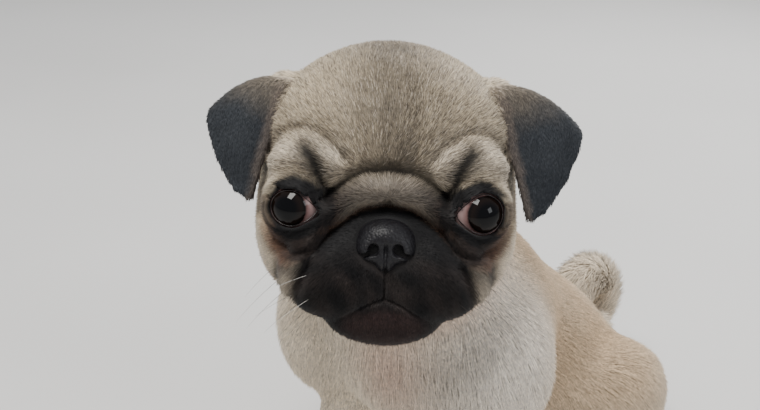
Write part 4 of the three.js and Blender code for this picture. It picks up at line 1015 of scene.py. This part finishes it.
globeMaterial = eyeMaterial()
for name, sideSign in (("eye_left", 1), ("eye_right", -1)):
    globe = bmesh.new()
    bmesh.ops.create_uvsphere(globe, u_segments=72, v_segments=48, radius=(eye["radius"] - 0.05) * mm)
    for vertex in globe.verts:
        x, y, z = vertex.co
        vertex.co = (x, -z, y)
        beside = math.hypot(vertex.co.x, vertex.co.z) / (eye["corneaRadius"] * mm)
        if vertex.co.y < 0 and beside < 1:
            vertex.co.y -= eye["corneaRise"] * mm * (1 - beside ** 2) ** 1.5
    globe.normal_update()
    mesh = bpy.data.meshes.new(name + "_globe")
    globe.to_mesh(mesh)
    globe.free()
    mesh.shade_smooth()
    mesh.materials.append(globeMaterial)
    piece = bpy.data.objects.new(name + "_globe", mesh)
    bpy.context.scene.collection.objects.link(piece)
    turned = headTurn @ rotation("Z", sideSign * eye["gaze"])
    spot = inFrame(fromHead([(sideSign * eye["spacing"] / 2, 0, 0)]))[0]
    piece.matrix_world = Matrix.Translation(Vector(spot)) @ Matrix(turned.tolist()).to_4x4()
    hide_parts(name)
    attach(piece, "root")


# Round tapering rods along lines, for the lids' wet rims, the claws and the whiskers.
def rods(name, lines, radii, sides, rodMaterial):
    vertices, faces = [], []
    for line, radius in zip(lines, radii):
        line = np.asarray(line, float)
        step = unit(np.gradient(line, axis=0))
        helper = np.array((0.31, 0.17, 0.93))
        first = unit(np.cross(step, helper))
        second = np.cross(step, first)
        start = len(vertices)
        for i in range(len(line)):
            for k in range(sides):
                angle = 2 * math.pi * k / sides
                out = math.cos(angle) * first[i] + math.sin(angle) * second[i]
                vertices.append(line[i] + radius[i] * out)
        for i in range(len(line) - 1):
            for k in range(sides):
                a, b = start + i * sides + k, start + i * sides + (k + 1) % sides
                faces.append((a, b, b + sides, a + sides))
        last = start + (len(line) - 1) * sides
        for k in range(1, sides - 1, 2):
            faces.append((start, start + (k + 2) % sides, start + k + 1, start + k))
            faces.append((last, last + k, last + k + 1, last + (k + 2) % sides))
    return meshOf(name, inFrame(vertices), faces, [rodMaterial])


# A thin wet line lies where each lid meets the globe.
made, nodes, links, shader = material("wet lid rim", 0.25, 0.3, 0, 0.2, 0.1)
speckle(nodes, links, shader, 600, 2, (0.012, 0.009, 0.009), (0.05, 0.036, 0.034))
lines, radii = [], []
for sideSign in (1, -1):
    line = []
    for angle in np.linspace(0, 2 * math.pi, eye["rimSteps"]):
        x = math.cos(angle) * eye["lidHalf"][0] * eye["rimInset"]
        z = math.sin(angle) * eye["lidHalf"][1] * eye["lidScale"][sideSign] * eye["rimInset"]
        inner = min(max(-sideSign * x / eye["lidHalf"][0], 0), 1) ** 2
        x = x * (1 + inner * eye["lidCorner"] / eye["lidHalf"][0] * 0.8)
        z = z * (1 - eye["cornerClose"] * inner) - eye["cornerDrop"] * inner
        y = -math.sqrt(max(eye["radius"] ** 2 - x * x - z * z, 1))
        line.append((x, y, z))
    line = np.array(line) @ rotation("Z", sideSign * eye["outward"]).T
    lines.append(fromHead(line + (sideSign * eye["spacing"] / 2, 0, 0)))
    radii.append(np.full(eye["rimSteps"], eye["wetRim"]))
rimPiece = rods("eye_wet_rims", lines, radii, 8, made)
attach(rimPiece, "root")

print("claws and whiskers")
claws = {"length": 4.4, "radius": 1.35, "sink": 3, "droop": 48, "bend": 34, "rings": 8, "sides": 12}
made, nodes, links, shader = material("claw", 0.38, 0.4)
speckle(nodes, links, shader, 500, 3, (0.03, 0.02, 0.016), (0.10, 0.065, 0.045), 0.35)
lines, radii = [], []
for paw in paws["places"]:
    turned = math.radians(paw["turn"])
    for centre in toeCentres(paw):
        for sideSign in (1, -1):
            forward = np.array((sideSign * math.sin(turned), -math.cos(turned), 0))
            at = np.array((sideSign * centre[0], centre[1], centre[2] + 1.4))
            at = at + forward * (paws["toeSize"][1] - claws["sink"])
            line = [at]
            for i in range(1, claws["rings"]):
                drop = math.radians(claws["droop"] - claws["bend"] / 2 + claws["bend"] * i / claws["rings"])
                step = forward * math.cos(drop) - np.array((0, 0, math.sin(drop)))
                at = at + step * (claws["length"] + claws["sink"] * 0.6) / (claws["rings"] - 1)
                line.append(at)
            lines.append(line)
            radii.append(claws["radius"] * (1 - np.linspace(0, 1, claws["rings"]) ** 1.6 * 0.85))
clawPiece = rods("claws", lines, radii, claws["sides"], made)
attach(clawPiece, "root")

whiskers = {"seed": 8, "radius": 0.08, "points": 10, "sides": 6}


def whiskerSet(name, places, shadeLow, shadeHigh):
    made, nodes, links, shader = material(name, 0.4, 0.4)
    speckle(nodes, links, shader, 200, 2, shadeLow, shadeHigh)
    lines, radii = [], []
    for start, aim, long, droop in places:
        aim = unit(np.array([aim], float))[0]
        line = []
        for t in np.linspace(0, 1, whiskers["points"]):
            line.append(np.array(start) + aim * long * t + np.array((0, 0.25, -1)) * droop * long * t * t)
        lines.append(fromHead(line))
        radii.append(whiskers["radius"] * (1 - 0.8 * np.linspace(0, 1, whiskers["points"])))
    piece = rods(name, lines, radii, whiskers["sides"], made)
    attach(piece, "root")


draw = np.random.default_rng(whiskers["seed"])
white, black = [], []
for sideSign in (1, -1):
    for row in range(3):
        for i in range(4):
            x = 12 + 3.2 * i + draw.uniform(-0.6, 0.6)
            z = -17 - 4.2 * row + draw.uniform(-0.6, 0.6)
            y = -13.5 + 0.028 * x * x
            aim = (sideSign * (0.9 + 0.1 * i), -0.25 + 0.22 * i, -0.12 - 0.22 * row)
            long = draw.uniform(16, 27)
            chosenSet = white if sideSign < 0 and row < 2 else black
            chosenSet.append(((sideSign * x, y, z), aim, long, draw.uniform(0.12, 0.3)))
    for i in range(3):
        start = (sideSign * (33 - i), 10 + 2 * i, -20 - 5 * i)
        black.append((start, (sideSign * 0.8, -0.2, -0.6), draw.uniform(15, 22), 0.2))
whiskerSet("whiskers_white", white, (0.6, 0.57, 0.52), (0.8, 0.78, 0.74))
whiskerSet("whiskers_dark", black, (0.02, 0.016, 0.014), (0.07, 0.055, 0.045))

# Floor, light and camera
print("floor, light and camera")
floorMesh = bpy.data.meshes.new("floor")
floorMesh.from_pydata([(-4, -4, 0), (4, -4, 0), (4, 4, 0), (-4, 4, 0)], [], [(0, 1, 2, 3)])
floorPiece = bpy.data.objects.new("floor", floorMesh)
bpy.context.scene.collection.objects.link(floorPiece)
made, nodes, links, shader = material("studio floor", 0.6, 0.2)
speckle(nodes, links, shader, 4, 2, (0.66, 0.65, 0.63), (0.70, 0.69, 0.67))
floorMesh.materials.append(made)

sky = {"tint": (0.93, 0.95, 1, 1), "strength": 0.56}
world = bpy.data.worlds.new("studio")
world.use_nodes = True
world.node_tree.nodes["Background"].inputs["Color"].default_value = sky["tint"]
world.node_tree.nodes["Background"].inputs["Strength"].default_value = sky["strength"]
bpy.context.scene.world = world

camera = {"azimuth": 38, "elevation": 25, "distance": 0.330, "focalPixels": 1049, "eyePixel": (387, 208),
          "picture": (760, 410), "sensor": 36}
az, el = math.radians(camera["azimuth"]), math.radians(camera["elevation"])
back = Vector((math.sin(az) * math.cos(el), -math.cos(az) * math.cos(el), math.sin(el)))
right = Vector((math.cos(az), math.sin(az), 0))
up = back.cross(right)
target = Vector(inFrame([eyeMiddle])[0])
lens = bpy.data.cameras.new("camera")
wide, high = camera["picture"]
lens.sensor_width = camera["sensor"]
lens.lens = camera["focalPixels"] / wide * camera["sensor"]
lens.shift_x = -(camera["eyePixel"][0] - wide / 2) / wide
lens.shift_y = (camera["eyePixel"][1] - high / 2) / wide
lens.clip_start = 0.01
cameraPiece = bpy.data.objects.new("camera", lens)
bpy.context.scene.collection.objects.link(cameraPiece)
turned = Matrix((right, up, back)).transposed().to_4x4()
cameraPiece.matrix_world = Matrix.Translation(target + back * camera["distance"]) @ turned
bpy.context.scene.camera = cameraPiece

lights = [
    {"name": "key", "from": (-0.30, 1.05, 0.42), "size": 0.55, "power": 24.0, "tint": (1, 0.985, 0.95)},
    {"name": "fill", "from": (1.0, 0.25, 0.75), "size": 0.5, "power": 5.0, "tint": (0.95, 0.97, 1)},
    {"name": "rim", "from": (0.5, 0.8, -0.8), "size": 0.6, "power": 6.0, "tint": (1, 1, 1)},
]
for light in lights:
    lamp = bpy.data.lights.new(light["name"], "AREA")
    lamp.size = light["size"]
    lamp.energy = light["power"]
    lamp.color = light["tint"]
    piece = bpy.data.objects.new(light["name"], lamp)
    across, above, toward = light["from"]
    piece.location = target + right * across + Vector((0, 0, above)) + back * toward
    piece.rotation_euler = (target - piece.location).to_track_quat("-Z", "Y").to_euler()
    bpy.context.scene.collection.objects.link(piece)
